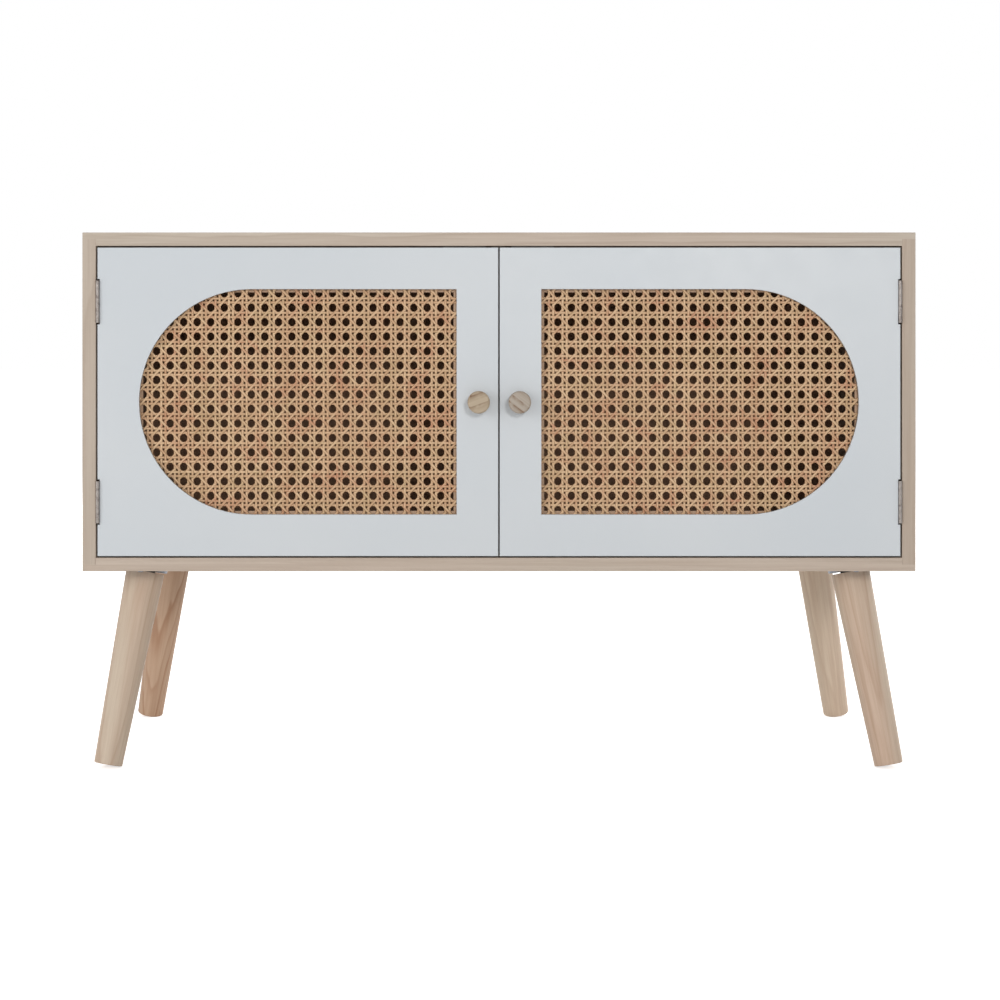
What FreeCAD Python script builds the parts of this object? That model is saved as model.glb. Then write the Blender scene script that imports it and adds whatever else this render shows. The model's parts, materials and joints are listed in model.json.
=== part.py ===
import FreeCAD, Part
import math
import os
import re
import Sketcher

# A low record cabinet: a wooden case with two cane-panelled doors on butt hinges, standing on four
# splayed, tapered legs. Millimetres and degrees. +X is the viewer's right, -Y the front, +Z up.
# The origin is on the floor, under the middle of the whole cabinet, knobs included.

Vector = FreeCAD.Vector

# Driving dimensions, each a cell of the sheet.
SIZES = {
    # case: 12-inch record sleeves, 315 mm square, stand inside it
    "case_width": 900,
    "case_depth": 370,
    "case_height": 366,
    "board_thick": 14.5,
    "tongue_thick": 7.25,
    "case_ease": 0.6,
    "back_thick": 3,
    "back_lap": 7,
    "back_clear": 0.5,
    "divider_thick": 14.5,
    "divider_setback": 1.5,
    "dado_deep": 5,
    "nail_dia": 1.6,
    "nail_long": 18,
    "nail_head_dia": 3.6,
    "nail_head_thick": 0.8,
    "nail_from_corner": 40,
    "bore_spare": 1,
    "cut_over": 1,
    # doors, flush with the front of the case
    "door_thick": 15,
    "door_gap": 1.8,
    "centre_gap": 1.6,
    "door_ease": 0.8,
    "frame_width": 45,
    "front_lip": 5,
    "rebate_margin": 10,
    "opening_ease": 0.6,
    "bead_wide": 10,
    "bead_clear": 0.25,
    # woven cane
    "strand_wide": 3.1,
    "strand_thick": 0.5,
    "pair_gap": 1.4,
    "mesh_across": 14.65,
    "mesh_up": 15.67,
    "mesh_shift": 0.5,
    "cane_clear": 0.5,
    # knobs and their screws
    "knob_long": 22,
    "knob_face_dia": 24,
    "knob_neck_dia": 18,
    "knob_neck_long": 4,
    "knob_flare_end": 9,
    "knob_round": 1.5,
    "knob_rim_round": 2.5,
    "knob_from_edge": 21.2,
    "knob_screw_dia": 4,
    "knob_screw_grip": 11,
    "knob_screw_head_dia": 8,
    "knob_screw_head_thick": 2.4,
    # butt hinges
    "hinge_long": 45.4,
    "hinge_from_end": 58.5,
    "barrel_dia": 4.4,
    "barrel_proud": 1,
    "barrel_clear": 0.4,
    "leaf_thick": 1,
    "leaf_wide": 14,
    "pin_dia": 2.2,
    "pin_clear": 0.05,
    "knuckle_gap": 0.3,
    "notch_clear": 1.8,
    "leaf_screw_in": 8.5,
    "leaf_screw_spread": 26,
    # wood screws
    "screw_dia": 2.8,
    "screw_head_dia": 5,
    "screw_long": 12,
    "screw_tip": 2.5,
    "screw_clear": 0.05,
    "pan_head_dia": 6,
    "pan_head_thick": 1.8,
    "pan_flat_dia": 4,
    "pan_rim": 0.6,
    # magnetic catches and their strike plates
    "catch_from_centre": 14,
    "catch_wide": 46,
    "catch_block_wide": 30,
    "catch_tall": 14,
    "catch_deep": 14,
    "catch_ear_thick": 3,
    "catch_screw_spread": 38,
    "magnet_wide": 24,
    "magnet_tall": 8,
    "magnet_deep": 9,
    "strike_gap": 0.3,
    "strike_thick": 1.2,
    "strike_wide": 38,
    "strike_tall": 9,
    "strike_corner": 1.8,
    "strike_from_top": 1,
    "strike_screw_spread": 24,
    # legs, studs and leg plates
    "leg_from_side": 58.7,
    "leg_from_front": 62.5,
    "leg_tilt": 13.6,
    "leg_long": 212.2,
    "leg_top_dia": 42.4,
    "leg_foot_dia": 30.9,
    "leg_drop": 7.6,
    "leg_top_round": 0.6,
    "foot_round": 1.5,
    "foot_band": 1.6,
    "stud_dia": 8,
    "stud_in_leg": 35,
    "stud_in_plate": 5.5,
    "stud_clear": 0.05,
    "plate_side": 60,
    "plate_thick": 2,
    "plate_corner": 6,
    "dome_dia": 53,
    "dome_taper": 15,
    "dome_gap": 2.2,
    "collar_dia": 22,
    "collar_sunk": 0.5,
    "plate_screw_spread": 48,
}

# Values worked out from them.
WORKED = {
    "front_y": "(knob_long - case_depth) / 2",
    "lift": "leg_drop + (leg_long - foot_round) * cos(leg_tilt)"
            " + (leg_foot_dia / 2 - foot_round) * sin(leg_tilt) + foot_round",
    "case_half": "case_width / 2",
    "inner_half": "case_half - board_thick",
    "inner_top": "case_height - board_thick",
    "back_front": "case_depth - back_thick",
    "divider_front": "door_thick + divider_setback",
    "nail_line": "back_lap / 2",
    "door_low": "board_thick + door_gap",
    "door_high": "inner_top - door_gap",
    "door_mid": "case_height / 2",
    "door_edge": "inner_half - door_gap",
    "opening_near": "centre_gap / 2 + frame_width",
    "opening_far": "door_edge - frame_width",
    "opening_mid": "(opening_near + opening_far) / 2",
    "opening_wide": "opening_far - opening_near",
    "opening_tall": "door_high - door_low - 2 * frame_width",
    "rebate_wide": "opening_wide + 2 * rebate_margin",
    "rebate_tall": "opening_tall + 2 * rebate_margin",
    "cane_wide": "rebate_wide - 2 * cane_clear",
    "cane_tall": "rebate_tall - 2 * cane_clear",
    "cane_thick": "4 * strand_thick",
    "pair_half": "strand_wide + pair_gap / 2",
    "slant": "mesh_across / mesh_up",
    "slant_half": "strand_wide / 2 * sqrt(1 + slant ^ 2)",
    "upright_pairs": "2 * floor((cane_wide / 2 - pair_half - abs(mesh_shift)) / mesh_across) + 1",
    "crosser_pairs": "2 * floor((cane_tall / 2 - pair_half) / mesh_up) + 1",
    "diagonals": "2 * floor((cane_wide + cane_tall * slant) / (2 * mesh_across))",
    "knob_x": "centre_gap / 2 + knob_from_edge",
    "knob_screw_long": "door_thick + knob_screw_grip",
    "knob_bore_deep": "knob_screw_grip + bore_spare",
    "hinge_x": "inner_half - barrel_dia / 2",
    "hinge_tops": "door_high - hinge_from_end - hinge_long / 2",
    "hinge_feet": "door_low + hinge_from_end - hinge_long / 2",
    "barrel_radius": "barrel_dia / 2",
    "leaf_start": "barrel_radius + barrel_clear",
    "knuckle_pitch": "(hinge_long + knuckle_gap) / 5",
    "knuckle_long": "knuckle_pitch - knuckle_gap",
    "notch_edge": "hinge_x - barrel_radius",
    "leaf_screw_y": "leaf_screw_in - barrel_proud",
    "leaf_screw_low": "(hinge_long - leaf_screw_spread) / 2",
    "screw_bore": "screw_dia / 2 + screw_clear",
    "catch_mid": "catch_from_centre + catch_wide / 2",
    "catch_front": "door_thick + strike_thick + strike_gap",
    "catch_mid_z": "inner_top - catch_tall / 2 - catch_ear_thick / 2",
    "strike_mid_z": "door_high - strike_tall / 2 - strike_from_top",
    "leg_x": "case_half - leg_from_side",
    "leg_y": "case_depth / 2 - leg_from_front",
    "stud_bore": "stud_dia / 2 + stud_clear",
    "stud_hole_end": "-stud_in_leg - bore_spare",
    "dome_deep": "2 * leg_drop",
}

PLANES = {"x": ("YZ_Plane", 1), "y": ("XZ_Plane", -1), "z": ("XY_Plane", 1)}
SIDES = {"left": -1, "right": 1}
NAILS_ACROSS = 4
NAILS_UP = 2
KNUCKLES = 5

# A sketch's numbers for the points of a line or a curve.
START = 1
END = 2
CENTRE = 3

doc = FreeCAD.newDocument("record_cabinet")


def worded(text):
    """Put the owner's name before each named size or worked value of an expression."""
    def owned(match):
        word = match.group(0)
        if word in SIZES:
            return "Sizes." + word
        if word in WORKED:
            return "Worked." + word
        return word
    return re.sub(r"[a-z][a-z_]+", owned, text)


def make_sheet():
    """Write the driving dimensions into the sheet, each beside its name."""
    made = doc.addObject("Spreadsheet::Sheet", "Sizes")
    for row, (word, size) in enumerate(SIZES.items(), 1):
        made.set(f"A{row}", word)
        made.set(f"B{row}", str(size))
        made.setAlias(f"B{row}", word)
    doc.recompute()
    return made


def make_worked():
    """Bind each worked value to the sheet."""
    made = doc.addObject("App::VarSet", "Worked")
    for word, text in WORKED.items():
        made.addProperty("App::PropertyFloat", word, "Worked")
        made.setExpression(word, worded(text))
    doc.recompute()
    return made


sheet = make_sheet()
make_worked()


def value(text):
    """Return what an expression comes to."""
    return float(sheet.evalExpression(worded(text)))


def bind(thing, name, text):
    """Tie a property to an expression of named values."""
    thing.setExpression(name, worded(text))


# ---- sketches ----

def pin_point(sketch, line, end, x, y):
    """Hold a point of a sketch at the place that two expressions give."""
    for kind, axis, text in (("DistanceX", -2, x), ("DistanceY", -1, y)):
        if text == "0":
            sketch.addConstraint(Sketcher.Constraint("PointOnObject", line, end, axis))
        else:
            held = Sketcher.Constraint(kind, -1, START, line, end, value(text))
            bind(sketch, f"Constraints[{sketch.addConstraint(held)}]", text)


def add_radius(sketch, curve, text):
    """Give a circle or an arc its radius."""
    held = Sketcher.Constraint("Radius", curve, value(text))
    bind(sketch, f"Constraints[{sketch.addConstraint(held)}]", text)


def circle(sketch, x, y, radius):
    """Draw a circle about a named centre."""
    round_line = Part.Circle(Vector(value(x), value(y), 0), Vector(0, 0, 1), value(radius))
    curve = sketch.addGeometry(round_line, False)
    pin_point(sketch, curve, CENTRE, x, y)
    add_radius(sketch, curve, radius)


def corner_arc(before, corner, after, radius):
    """Return the arc that rounds a corner, with its ends on the sides before and after it."""
    back = (before - corner).normalize()
    ahead = (after - corner).normalize()
    half = back.getAngle(ahead) / 2
    ends = [corner + way * (radius / math.tan(half)) for way in (back, ahead)]
    centre = corner + (back + ahead).normalize() * (radius / math.sin(half))
    turns_left = back.cross(ahead).z < 0
    first, last = ends if turns_left else reversed(ends)
    angles = [math.atan2(end.y - centre.y, end.x - centre.x) for end in (first, last)]
    return Part.ArcOfCircle(Part.Circle(centre, Vector(0, 0, 1), radius), *angles), ends, turns_left


def outline(sketch, corners):
    """Draw a closed outline of straight sides. A corner with a third value is rounded to that radius."""
    places = [Vector(value(corner[0]), value(corner[1]), 0) for corner in corners]
    count = len(corners)
    rounds = {}
    for k, corner in enumerate(corners):
        if len(corner) == 3:
            rounds[k] = corner_arc(places[k - 1], places[k], places[(k + 1) % count], value(corner[2]))
    sides = []
    for k in range(count):
        start = rounds[k][1][1] if k in rounds else places[k]
        after = (k + 1) % count
        end = rounds[after][1][0] if after in rounds else places[after]
        sides.append(sketch.addGeometry(Part.LineSegment(start, end), False))
    for k, corner in enumerate(corners):
        if k in rounds:
            arc, _, turns_left = rounds[k]
            curve = sketch.addGeometry(arc, False)
            tip = sketch.addGeometry(Part.Point(places[k]), True)
            first, last = (START, END) if turns_left else (END, START)
            pin_point(sketch, tip, START, corner[0], corner[1])
            sketch.addConstraint(Sketcher.Constraint("PointOnObject", tip, START, sides[k - 1]))
            sketch.addConstraint(Sketcher.Constraint("PointOnObject", tip, START, sides[k]))
            sketch.addConstraint(Sketcher.Constraint("Tangent", sides[k - 1], END, curve, first))
            sketch.addConstraint(Sketcher.Constraint("Tangent", curve, last, sides[k], START))
            add_radius(sketch, curve, corner[2])
        else:
            sketch.addConstraint(Sketcher.Constraint("Coincident", sides[k - 1], END, sides[k], START))
            pin_point(sketch, sides[k], START, corner[0], corner[1])


def rectangle(sketch, x_one, y_one, x_two, y_two):
    """Draw an upright rectangle between two opposite corners."""
    outline(sketch, [(x_one, y_one), (x_two, y_one), (x_two, y_two), (x_one, y_two)])


def half_round(sketch, side, square_x, round_x, low, high):
    """Draw an opening that is half round at its end on the given side and square at the other."""
    middle = (value(low) + value(high)) / 2
    radius = (value(high) - value(low)) / 2
    arc_x = value(round_x) - side * radius
    corners = [(arc_x, value(high)), (value(square_x), value(high)), (value(square_x), value(low)),
               (arc_x, value(low))]
    points = [Vector(x, y, 0) for x, y in corners]
    top = sketch.addGeometry(Part.LineSegment(points[0], points[1]), False)
    square = sketch.addGeometry(Part.LineSegment(points[1], points[2]), False)
    low_line = sketch.addGeometry(Part.LineSegment(points[2], points[3]), False)
    start = -math.pi / 2 if side > 0 else math.pi / 2
    whole = Part.Circle(Vector(arc_x, middle, 0), Vector(0, 0, 1), radius)
    arc = sketch.addGeometry(Part.ArcOfCircle(whole, start, start + math.pi), False)
    low_end, high_end = (START, END) if side > 0 else (END, START)
    tip = sketch.addGeometry(Part.Point(Vector(value(round_x), middle, 0)), True)
    sketch.addConstraint([
        Sketcher.Constraint("Coincident", top, END, square, START),
        Sketcher.Constraint("Coincident", square, END, low_line, START),
        Sketcher.Constraint("Coincident", low_line, END, arc, low_end),
        Sketcher.Constraint("Coincident", arc, high_end, top, START),
        Sketcher.Constraint("Horizontal", top),
        Sketcher.Constraint("Horizontal", low_line),
        Sketcher.Constraint("Vertical", arc, CENTRE, arc, START),
        Sketcher.Constraint("Vertical", arc, CENTRE, arc, END),
        Sketcher.Constraint("Horizontal", arc, CENTRE, tip, START),
        Sketcher.Constraint("PointOnObject", tip, START, arc),
    ])
    pin_point(sketch, square, START, square_x, high)
    pin_point(sketch, square, END, square_x, low)
    held = Sketcher.Constraint("DistanceX", -1, START, tip, START, value(round_x))
    bind(sketch, f"Constraints[{sketch.addConstraint(held)}]", round_x)


# ---- pieces ----

CASE = ("0", "front_y", "lift")


class Piece:
    """One piece of the cabinet: a body whose features are worked in its own frame."""

    def __init__(self, label, at=CASE, axis=None, turn="0"):
        self.body = doc.addObject("PartDesign::Body", label)
        self.body.Label = label
        for letter, text in zip("xyz", at):
            bind(self.body, f"Placement.Base.{letter}", text)
        if axis:
            self.body.Placement = FreeCAD.Placement(self.body.Placement.Base, FreeCAD.Rotation(axis, 1))
            bind(self.body, "Placement.Rotation.Angle", turn)

    def origin(self, role):
        """Return one of the body's own planes or axes."""
        return next(item for item in self.body.Origin.OriginFeatures if item.Role == role)

    def sketch(self, axis, draw, at=("0", "0", "0"), lean=None):
        """Draw a sketch across an axis, moved by three expressions in the sketch's own directions."""
        made = self.body.newObject("Sketcher::SketchObject", self.body.Label + "_sketch")
        made.AttachmentSupport = [(self.origin(PLANES[axis][0]), "")]
        made.MapMode = "FlatFace"
        for letter, text in zip("xyz", at):
            bind(made, f"AttachmentOffset.Base.{letter}", text)
        if lean:
            bind(made, "AttachmentOffset.Rotation.Angle", lean)
        draw(made)
        return made

    def sweep(self, kind, axis, start, length, draw):
        """Pad or pocket a sketch from a start along the axis's positive way."""
        normal = PLANES[axis][1]
        made_sketch = self.sketch(axis, draw, ("0", "0", f"{normal} * ({start})"))
        made = self.body.newObject(f"PartDesign::{kind}", f"{self.body.Label}_{kind.lower()}")
        made.Profile = made_sketch
        made.Reversed = (normal < 0) == (kind == "Pad")
        bind(made, "Length", length)
        return made

    def pad(self, axis, start, length, draw):
        """Add material over a sketch."""
        return self.sweep("Pad", axis, start, length, draw)

    def cut(self, axis, start, length, draw):
        """Take material away over a sketch."""
        return self.sweep("Pocket", axis, start, length, draw)

    def turned(self, kind, axis, draw, about, at=("0", "0", "0"), lean=None):
        """Revolve or groove a sketch about one of its own axes."""
        made_sketch = self.sketch(axis, draw, at, lean)
        made = self.body.newObject(f"PartDesign::{kind}", f"{self.body.Label}_{kind.lower()}")
        made.Profile = made_sketch
        made.ReferenceAxis = (made_sketch, [about])
        made.Angle = 360
        return made

    def repeat(self, axis, spacing, copies, originals=None):
        """Repeat features, or the whole body so far, along an axis."""
        doc.recompute()
        made = self.body.newObject("PartDesign::LinearPattern", self.body.Label + "_row")
        if originals:
            made.Originals = originals
        else:
            made.TransformMode = "Whole shape"
        made.Direction = (self.origin(axis.upper() + "_Axis"), [""])
        made.Mode = "Spacing"
        bind(made, "Offset", spacing)
        bind(made, "Occurrences", copies)
        self.body.Tip = made

    def mirror(self, plane):
        """Mirror the whole body so far in one of its own planes."""
        doc.recompute()
        made = self.body.newObject("PartDesign::Mirrored", self.body.Label + "_mirrored")
        made.TransformMode = "Whole shape"
        made.MirrorPlane = (self.origin(plane), [""])
        self.body.Tip = made

    def ease(self, radius, wanted):
        """Round the edges whose middle points pass a test."""
        doc.recompute()
        base = self.body.Tip
        names = []
        for number, edge in enumerate(base.Shape.Edges, 1):
            if wanted(edge.valueAt((edge.FirstParameter + edge.LastParameter) / 2)):
                names.append(f"Edge{number}")
        made = self.body.newObject("PartDesign::Fillet", self.body.Label + "_eased")
        made.Base = (base, names)
        bind(made, "Radius", radius)


def near(one, other):
    """Tell whether two lengths agree."""
    return abs(one - other) < 1e-4


def outward(side, start, length):
    """Return where a stretch begins that leaves the middle of the cabinet on the given side."""
    return start if side > 0 else f"-({start} + {length})"


# ---- case ----

def nail_places():
    """Return where the nails of the back panel stand, as pairs of expressions."""
    places = []
    for k in range(NAILS_ACROSS):
        share = 2 * k / (NAILS_ACROSS - 1) - 1
        for z in ("board_thick - nail_line", "inner_top + nail_line"):
            places.append((f"{share} * (inner_half - nail_from_corner)", z))
    for k in range(NAILS_UP):
        share = (k + 1) / (NAILS_UP + 1)
        for side in SIDES.values():
            z = f"board_thick + {share} * (inner_top - board_thick)"
            places.append((f"{side} * (inner_half + nail_line)", z))
    return places


def nail_circles(sketch, radius, wanted):
    """Draw the nails that pass a test as circles."""
    for x, z in nail_places():
        if wanted(value(x), value(z)):
            circle(sketch, x, z, radius)


def drill_for_nails(piece, wanted):
    """Bore the nails' pilot holes into a panel's rear edge."""
    piece.cut("y", "case_depth - nail_long - bore_spare", "nail_long + bore_spare - back_thick",
              lambda sketch: nail_circles(sketch, "nail_dia / 2 + screw_clear", wanted))


def plate_screw_places():
    """Return where the leg plates' screws stand: on the four corners of a square turned by 45 degrees."""
    reach = "plate_screw_spread / sqrt(2)"
    places = []
    for side in (-1, 1):
        for end in (-1, 1):
            for x_step, y_step in ((1, 0), (-1, 0), (0, 1), (0, -1)):
                x = f"{side} * leg_x + {x_step} * {reach}"
                y = f"case_depth / 2 + {end} * leg_y + {y_step} * {reach}"
                places.append((x, y))
    return places


def make_level_panel(label, outer, way):
    """The top or bottom panel: thin tongues over the side panels' ends, a dado and a rear rebate."""
    def z_at(depth):
        return f"{outer} + {way} * ({depth})"

    piece = Piece(label)
    tongue = z_at("tongue_thick")
    inner = z_at("board_thick")
    piece.pad("y", "0", "case_depth", lambda sketch: outline(sketch, [
        ("-case_half", outer), ("case_half", outer), ("case_half", tongue), ("inner_half", tongue),
        ("inner_half", inner), ("-inner_half", inner), ("-inner_half", tongue), ("-case_half", tongue)]))

    def outside_edge(point):
        on_face = near(point.z, value(outer))
        on_corner = near(abs(point.x), value("case_half")) and not near(point.z, value(tongue))
        inner_front = near(point.z, value(inner)) and near(point.y, 0)
        return on_face or on_corner or inner_front

    piece.ease("case_ease", outside_edge)
    piece.cut("y", "back_front", "back_thick", lambda sketch: rectangle(
        sketch, "-inner_half", inner, "inner_half", z_at("board_thick - back_lap")))
    piece.cut("y", "divider_front", "case_depth - divider_front", lambda sketch: rectangle(
        sketch, "-divider_thick / 2", inner, "divider_thick / 2", z_at("board_thick - dado_deep")))
    edge = value(z_at("board_thick - nail_line"))
    drill_for_nails(piece, lambda x, z: near(z, edge))
    return piece


def make_top_panel():
    """The top panel, bored from below for the catches' screws."""
    piece = make_level_panel("top_panel", "case_height", -1)

    def holes(sketch):
        for side in SIDES.values():
            for end in (-1, 1):
                circle(sketch, f"{side} * (catch_mid + {end} * catch_screw_spread / 2)",
                       "catch_front + catch_deep / 2", "screw_bore")

    piece.cut("z", "inner_top", "screw_long - catch_ear_thick + screw_clear", holes)


def make_bottom_panel():
    """The bottom panel, bored from below for the leg plates' screws."""
    piece = make_level_panel("bottom_panel", "0", 1)

    def holes(sketch):
        for x, y in plate_screw_places():
            circle(sketch, x, y, "screw_bore")

    piece.cut("z", "0", "screw_long - plate_thick + screw_clear", holes)


def make_side_panel(name, side):
    """A side panel between the tongues, with its rear rebate and the pilot holes of two hinge leaves."""
    piece = Piece(f"{name}_side_panel")
    low = "tongue_thick"
    high = "case_height - tongue_thick"
    piece.pad("y", "0", "case_depth", lambda sketch: rectangle(
        sketch, f"{side} * inner_half", low, f"{side} * case_half", high))

    def long_edge(point):
        upright = not near(point.z, value(low)) and not near(point.z, value(high))
        outer = near(abs(point.x), value("case_half"))
        return upright and (outer or near(point.y, 0))

    piece.ease("case_ease", long_edge)
    piece.cut("y", "back_front", "back_thick", lambda sketch: rectangle(
        sketch, f"{side} * inner_half", low, f"{side} * (inner_half + back_lap)", high))

    def holes(sketch):
        for hinge in ("hinge_feet", "hinge_tops"):
            for step in ("0", "leaf_screw_spread"):
                circle(sketch, "leaf_screw_y", f"{hinge} + leaf_screw_low + {step}", "screw_bore")

    deep = "screw_long - leaf_thick + screw_clear"
    piece.cut("x", outward(side, "inner_half", deep), deep, holes)
    drill_for_nails(piece, lambda x, z: near(x, side * value("inner_half + nail_line")))


def make_divider():
    """The upright divider behind the meeting of the doors, let into the top and bottom panels."""
    piece = Piece("centre_divider")
    piece.pad("y", "divider_front", "back_front - divider_front", lambda sketch: rectangle(
        sketch, "-divider_thick / 2", "board_thick - dado_deep",
        "divider_thick / 2", "inner_top + dado_deep"))


def make_back():
    """The thin back panel in its rebate, and the nails that hold it."""
    piece = Piece("back_panel")
    wide = "inner_half + back_lap - back_clear"
    piece.pad("y", "back_front", "back_thick", lambda sketch: rectangle(
        sketch, f"-({wide})", "board_thick - back_lap + back_clear",
        wide, "inner_top + back_lap - back_clear"))
    piece.cut("y", "back_front", "back_thick",
              lambda sketch: nail_circles(sketch, "nail_dia / 2 + screw_clear", lambda x, z: True))
    piece.cut("y", "case_depth - nail_head_thick", "nail_head_thick",
              lambda sketch: nail_circles(sketch, "nail_head_dia / 2 + screw_clear", lambda x, z: True))
    nails = Piece("back_panel_nails")
    nails.pad("y", "case_depth - nail_long", "nail_long - nail_head_thick",
              lambda sketch: nail_circles(sketch, "nail_dia / 2", lambda x, z: True))
    nails.pad("y", "case_depth - nail_head_thick", "nail_head_thick",
              lambda sketch: nail_circles(sketch, "nail_head_dia / 2", lambda x, z: True))


# ---- doors ----

def make_door(name, side):
    """A door: eased front, half-round opening, rear rebate for the cane, notches for its hinges."""
    piece = Piece(f"{name}_door_panel")
    piece.pad("y", "0", "door_thick", lambda sketch: rectangle(
        sketch, f"{side} * centre_gap / 2", "door_low", f"{side} * door_edge", "door_high"))
    piece.ease("door_ease", lambda point: near(point.y, 0))
    low = "door_low + frame_width"
    high = "door_high - frame_width"
    piece.cut("y", "0", "door_thick", lambda sketch: half_round(
        sketch, side, f"{side} * opening_near", f"{side} * opening_far", low, high))
    margin = value("frame_width") / 2

    def opening_front(point):
        inside = value("opening_near") - margin < abs(point.x) < value("opening_far") + margin
        level = value("door_low") + margin < point.z < value("door_high") - margin
        return near(point.y, 0) and inside and level

    piece.ease("opening_ease", opening_front)
    piece.cut("y", "front_lip", "door_thick - front_lip", lambda sketch: rectangle(
        sketch, f"{side} * (opening_near - rebate_margin)", f"{low} - rebate_margin",
        f"{side} * (opening_far + rebate_margin)", f"{high} + rebate_margin"))

    def notches(sketch):
        for hinge in ("hinge_feet", "hinge_tops"):
            rectangle(sketch, f"{side} * notch_edge", f"{hinge} - notch_clear",
                      f"{side} * (door_edge + cut_over)", f"{hinge} + hinge_long + notch_clear")

    piece.cut("y", "0", "door_thick", notches)
    piece.cut("y", "0", "door_thick", lambda sketch: circle(
        sketch, f"{side} * knob_x", "door_mid", "knob_screw_dia / 2 + screw_clear"))

    def strike_holes(sketch):
        for end in (-1, 1):
            x = f"{side} * (catch_mid + {end} * strike_screw_spread / 2)"
            circle(sketch, x, "strike_mid_z", "screw_bore")

    deep = "screw_long - strike_thick + screw_clear"
    piece.cut("y", f"door_thick - ({deep})", deep, strike_holes)

    def leaf_holes(sketch):
        for hinge in ("hinge_feet", "hinge_tops"):
            for step in ("0", "leaf_screw_spread"):
                circle(sketch, "leaf_screw_y", f"{hinge} + leaf_screw_low + {step}", "screw_bore")

    deep = "screw_long - leaf_thick + screw_clear"
    piece.cut("x", outward(side, f"notch_edge - ({deep})", deep), deep, leaf_holes)


def cane_layer(name, side, layer, set_name):
    """Start one set of parallel strands behind the door's opening, as deep as its layer lies."""
    at = (f"{side} * opening_mid + mesh_shift", f"front_y + front_lip + {layer} * strand_thick",
          "lift + door_mid")
    return Piece(f"{name}_cane_{set_name}", at)


def make_cane(name, side):
    """The cane of one door: rising and falling diagonals over crossers and uprights in pairs."""
    half_wide = "cane_wide / 2"
    half_tall = "cane_tall / 2"

    def upright_pair(sketch):
        first = "-(upright_pairs - 1) / 2 * mesh_across"
        for way in (-1, 1):
            rectangle(sketch, f"{first} + {way} * pair_gap / 2", f"-{half_tall}",
                      f"{first} + {way} * pair_half", half_tall)

    def crosser_pair(sketch):
        first = "-(crosser_pairs - 1) / 2 * mesh_up"
        for way in (-1, 1):
            rectangle(sketch, f"-{half_wide} - mesh_shift", f"{first} + {way} * pair_gap / 2",
                      f"{half_wide} - mesh_shift", f"{first} + {way} * pair_half")

    def diagonal(lean):
        def draw(sketch):
            first = "-(diagonals - 1) / 2 * mesh_across"
            run = f"{lean} * {half_tall} * slant"
            outline(sketch, [
                (f"{first} - {run} - slant_half", f"-{half_tall}"),
                (f"{first} - {run} + slant_half", f"-{half_tall}"),
                (f"{first} + {run} + slant_half", half_tall),
                (f"{first} + {run} - slant_half", half_tall)])
        return draw

    def beside_sheet(sketch):
        for way in (-1, 1):
            rectangle(sketch, f"{way} * {half_wide} - mesh_shift", f"-{half_tall} - cut_over",
                      f"{way} * (cane_wide + cane_tall) - mesh_shift", f"{half_tall} + cut_over")

    for layer, (set_name, lean) in enumerate((("rising", 1), ("falling", -1))):
        piece = cane_layer(name, side, layer, set_name)
        piece.pad("y", "0", "strand_thick", diagonal(lean))
        piece.repeat("x", "mesh_across", "diagonals")
        piece.cut("y", "0", "strand_thick", beside_sheet)
    piece = cane_layer(name, side, 2, "crossers")
    piece.pad("y", "0", "strand_thick", crosser_pair)
    piece.repeat("z", "mesh_up", "crosser_pairs")
    piece = cane_layer(name, side, 3, "uprights")
    piece.pad("y", "0", "strand_thick", upright_pair)
    piece.repeat("x", "mesh_across", "upright_pairs")


def make_retainer(name, side):
    """The bead frame that holds the cane in its rebate, flush with the door's back."""
    piece = Piece(f"{name}_cane_retainer", (f"{side} * opening_mid", "front_y", "lift + door_mid"))

    def frame(sketch):
        for inset in ("bead_clear", "bead_clear + bead_wide"):
            rectangle(sketch, f"{inset} - rebate_wide / 2", f"{inset} - rebate_tall / 2",
                      f"rebate_wide / 2 - ({inset})", f"rebate_tall / 2 - ({inset})")

    start = "front_lip + cane_thick"
    piece.pad("y", start, f"door_thick - ({start})", frame)


def make_knob(name, side):
    """A turned knob and the machine screw that holds it through the door."""
    forwards = Vector(1, 0, 0)
    knob = Piece(f"{name}_knob", (f"{side} * knob_x", "front_y", "lift + door_mid"), forwards, "90")
    bore = "knob_screw_dia / 2 + screw_clear"
    knob.turned("Revolution", "y", lambda sketch: outline(sketch, [
        (bore, "0"), ("knob_neck_dia / 2", "0"), ("knob_neck_dia / 2", "knob_neck_long", "knob_round"),
        ("knob_face_dia / 2", "knob_flare_end", "knob_round"),
        ("knob_face_dia / 2", "knob_long", "knob_rim_round"),
        ("0", "knob_long"), ("0", "knob_bore_deep"), (bore, "knob_bore_deep")]), "V_Axis")
    screw = Piece(f"{name}_knob_screw", (f"{side} * knob_x", "front_y + door_thick", "lift + door_mid"),
                  forwards, "90")
    screw.turned("Revolution", "y", lambda sketch: outline(sketch, [
        ("0", "-knob_screw_head_thick"), ("knob_screw_head_dia / 2", "-knob_screw_head_thick", "knob_round"),
        ("knob_screw_head_dia / 2", "0"), ("knob_screw_dia / 2", "0"),
        ("knob_screw_dia / 2", "knob_screw_long"), ("0", "knob_screw_long")]), "V_Axis")


# ---- screws ----

def flat_screw(sketch, way, sunk):
    """Half the outline of a countersunk wood screw along the sketch's first axis."""
    outline(sketch, [("0", "0"), ("0", "screw_head_dia / 2"), (f"{way} * {sunk}", "screw_dia / 2"),
                     (f"{way} * (screw_long - screw_tip)", "screw_dia / 2"), (f"{way} * screw_long", "0")])


def countersink(sketch, way, sunk):
    """Half the outline of the hole that the sunk head of such a screw lies in."""
    outline(sketch, [("0", "0"), ("0", "screw_head_dia / 2 + screw_clear"),
                     (f"{way} * {sunk}", "screw_bore"), (f"{way} * {sunk}", "0")])


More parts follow.
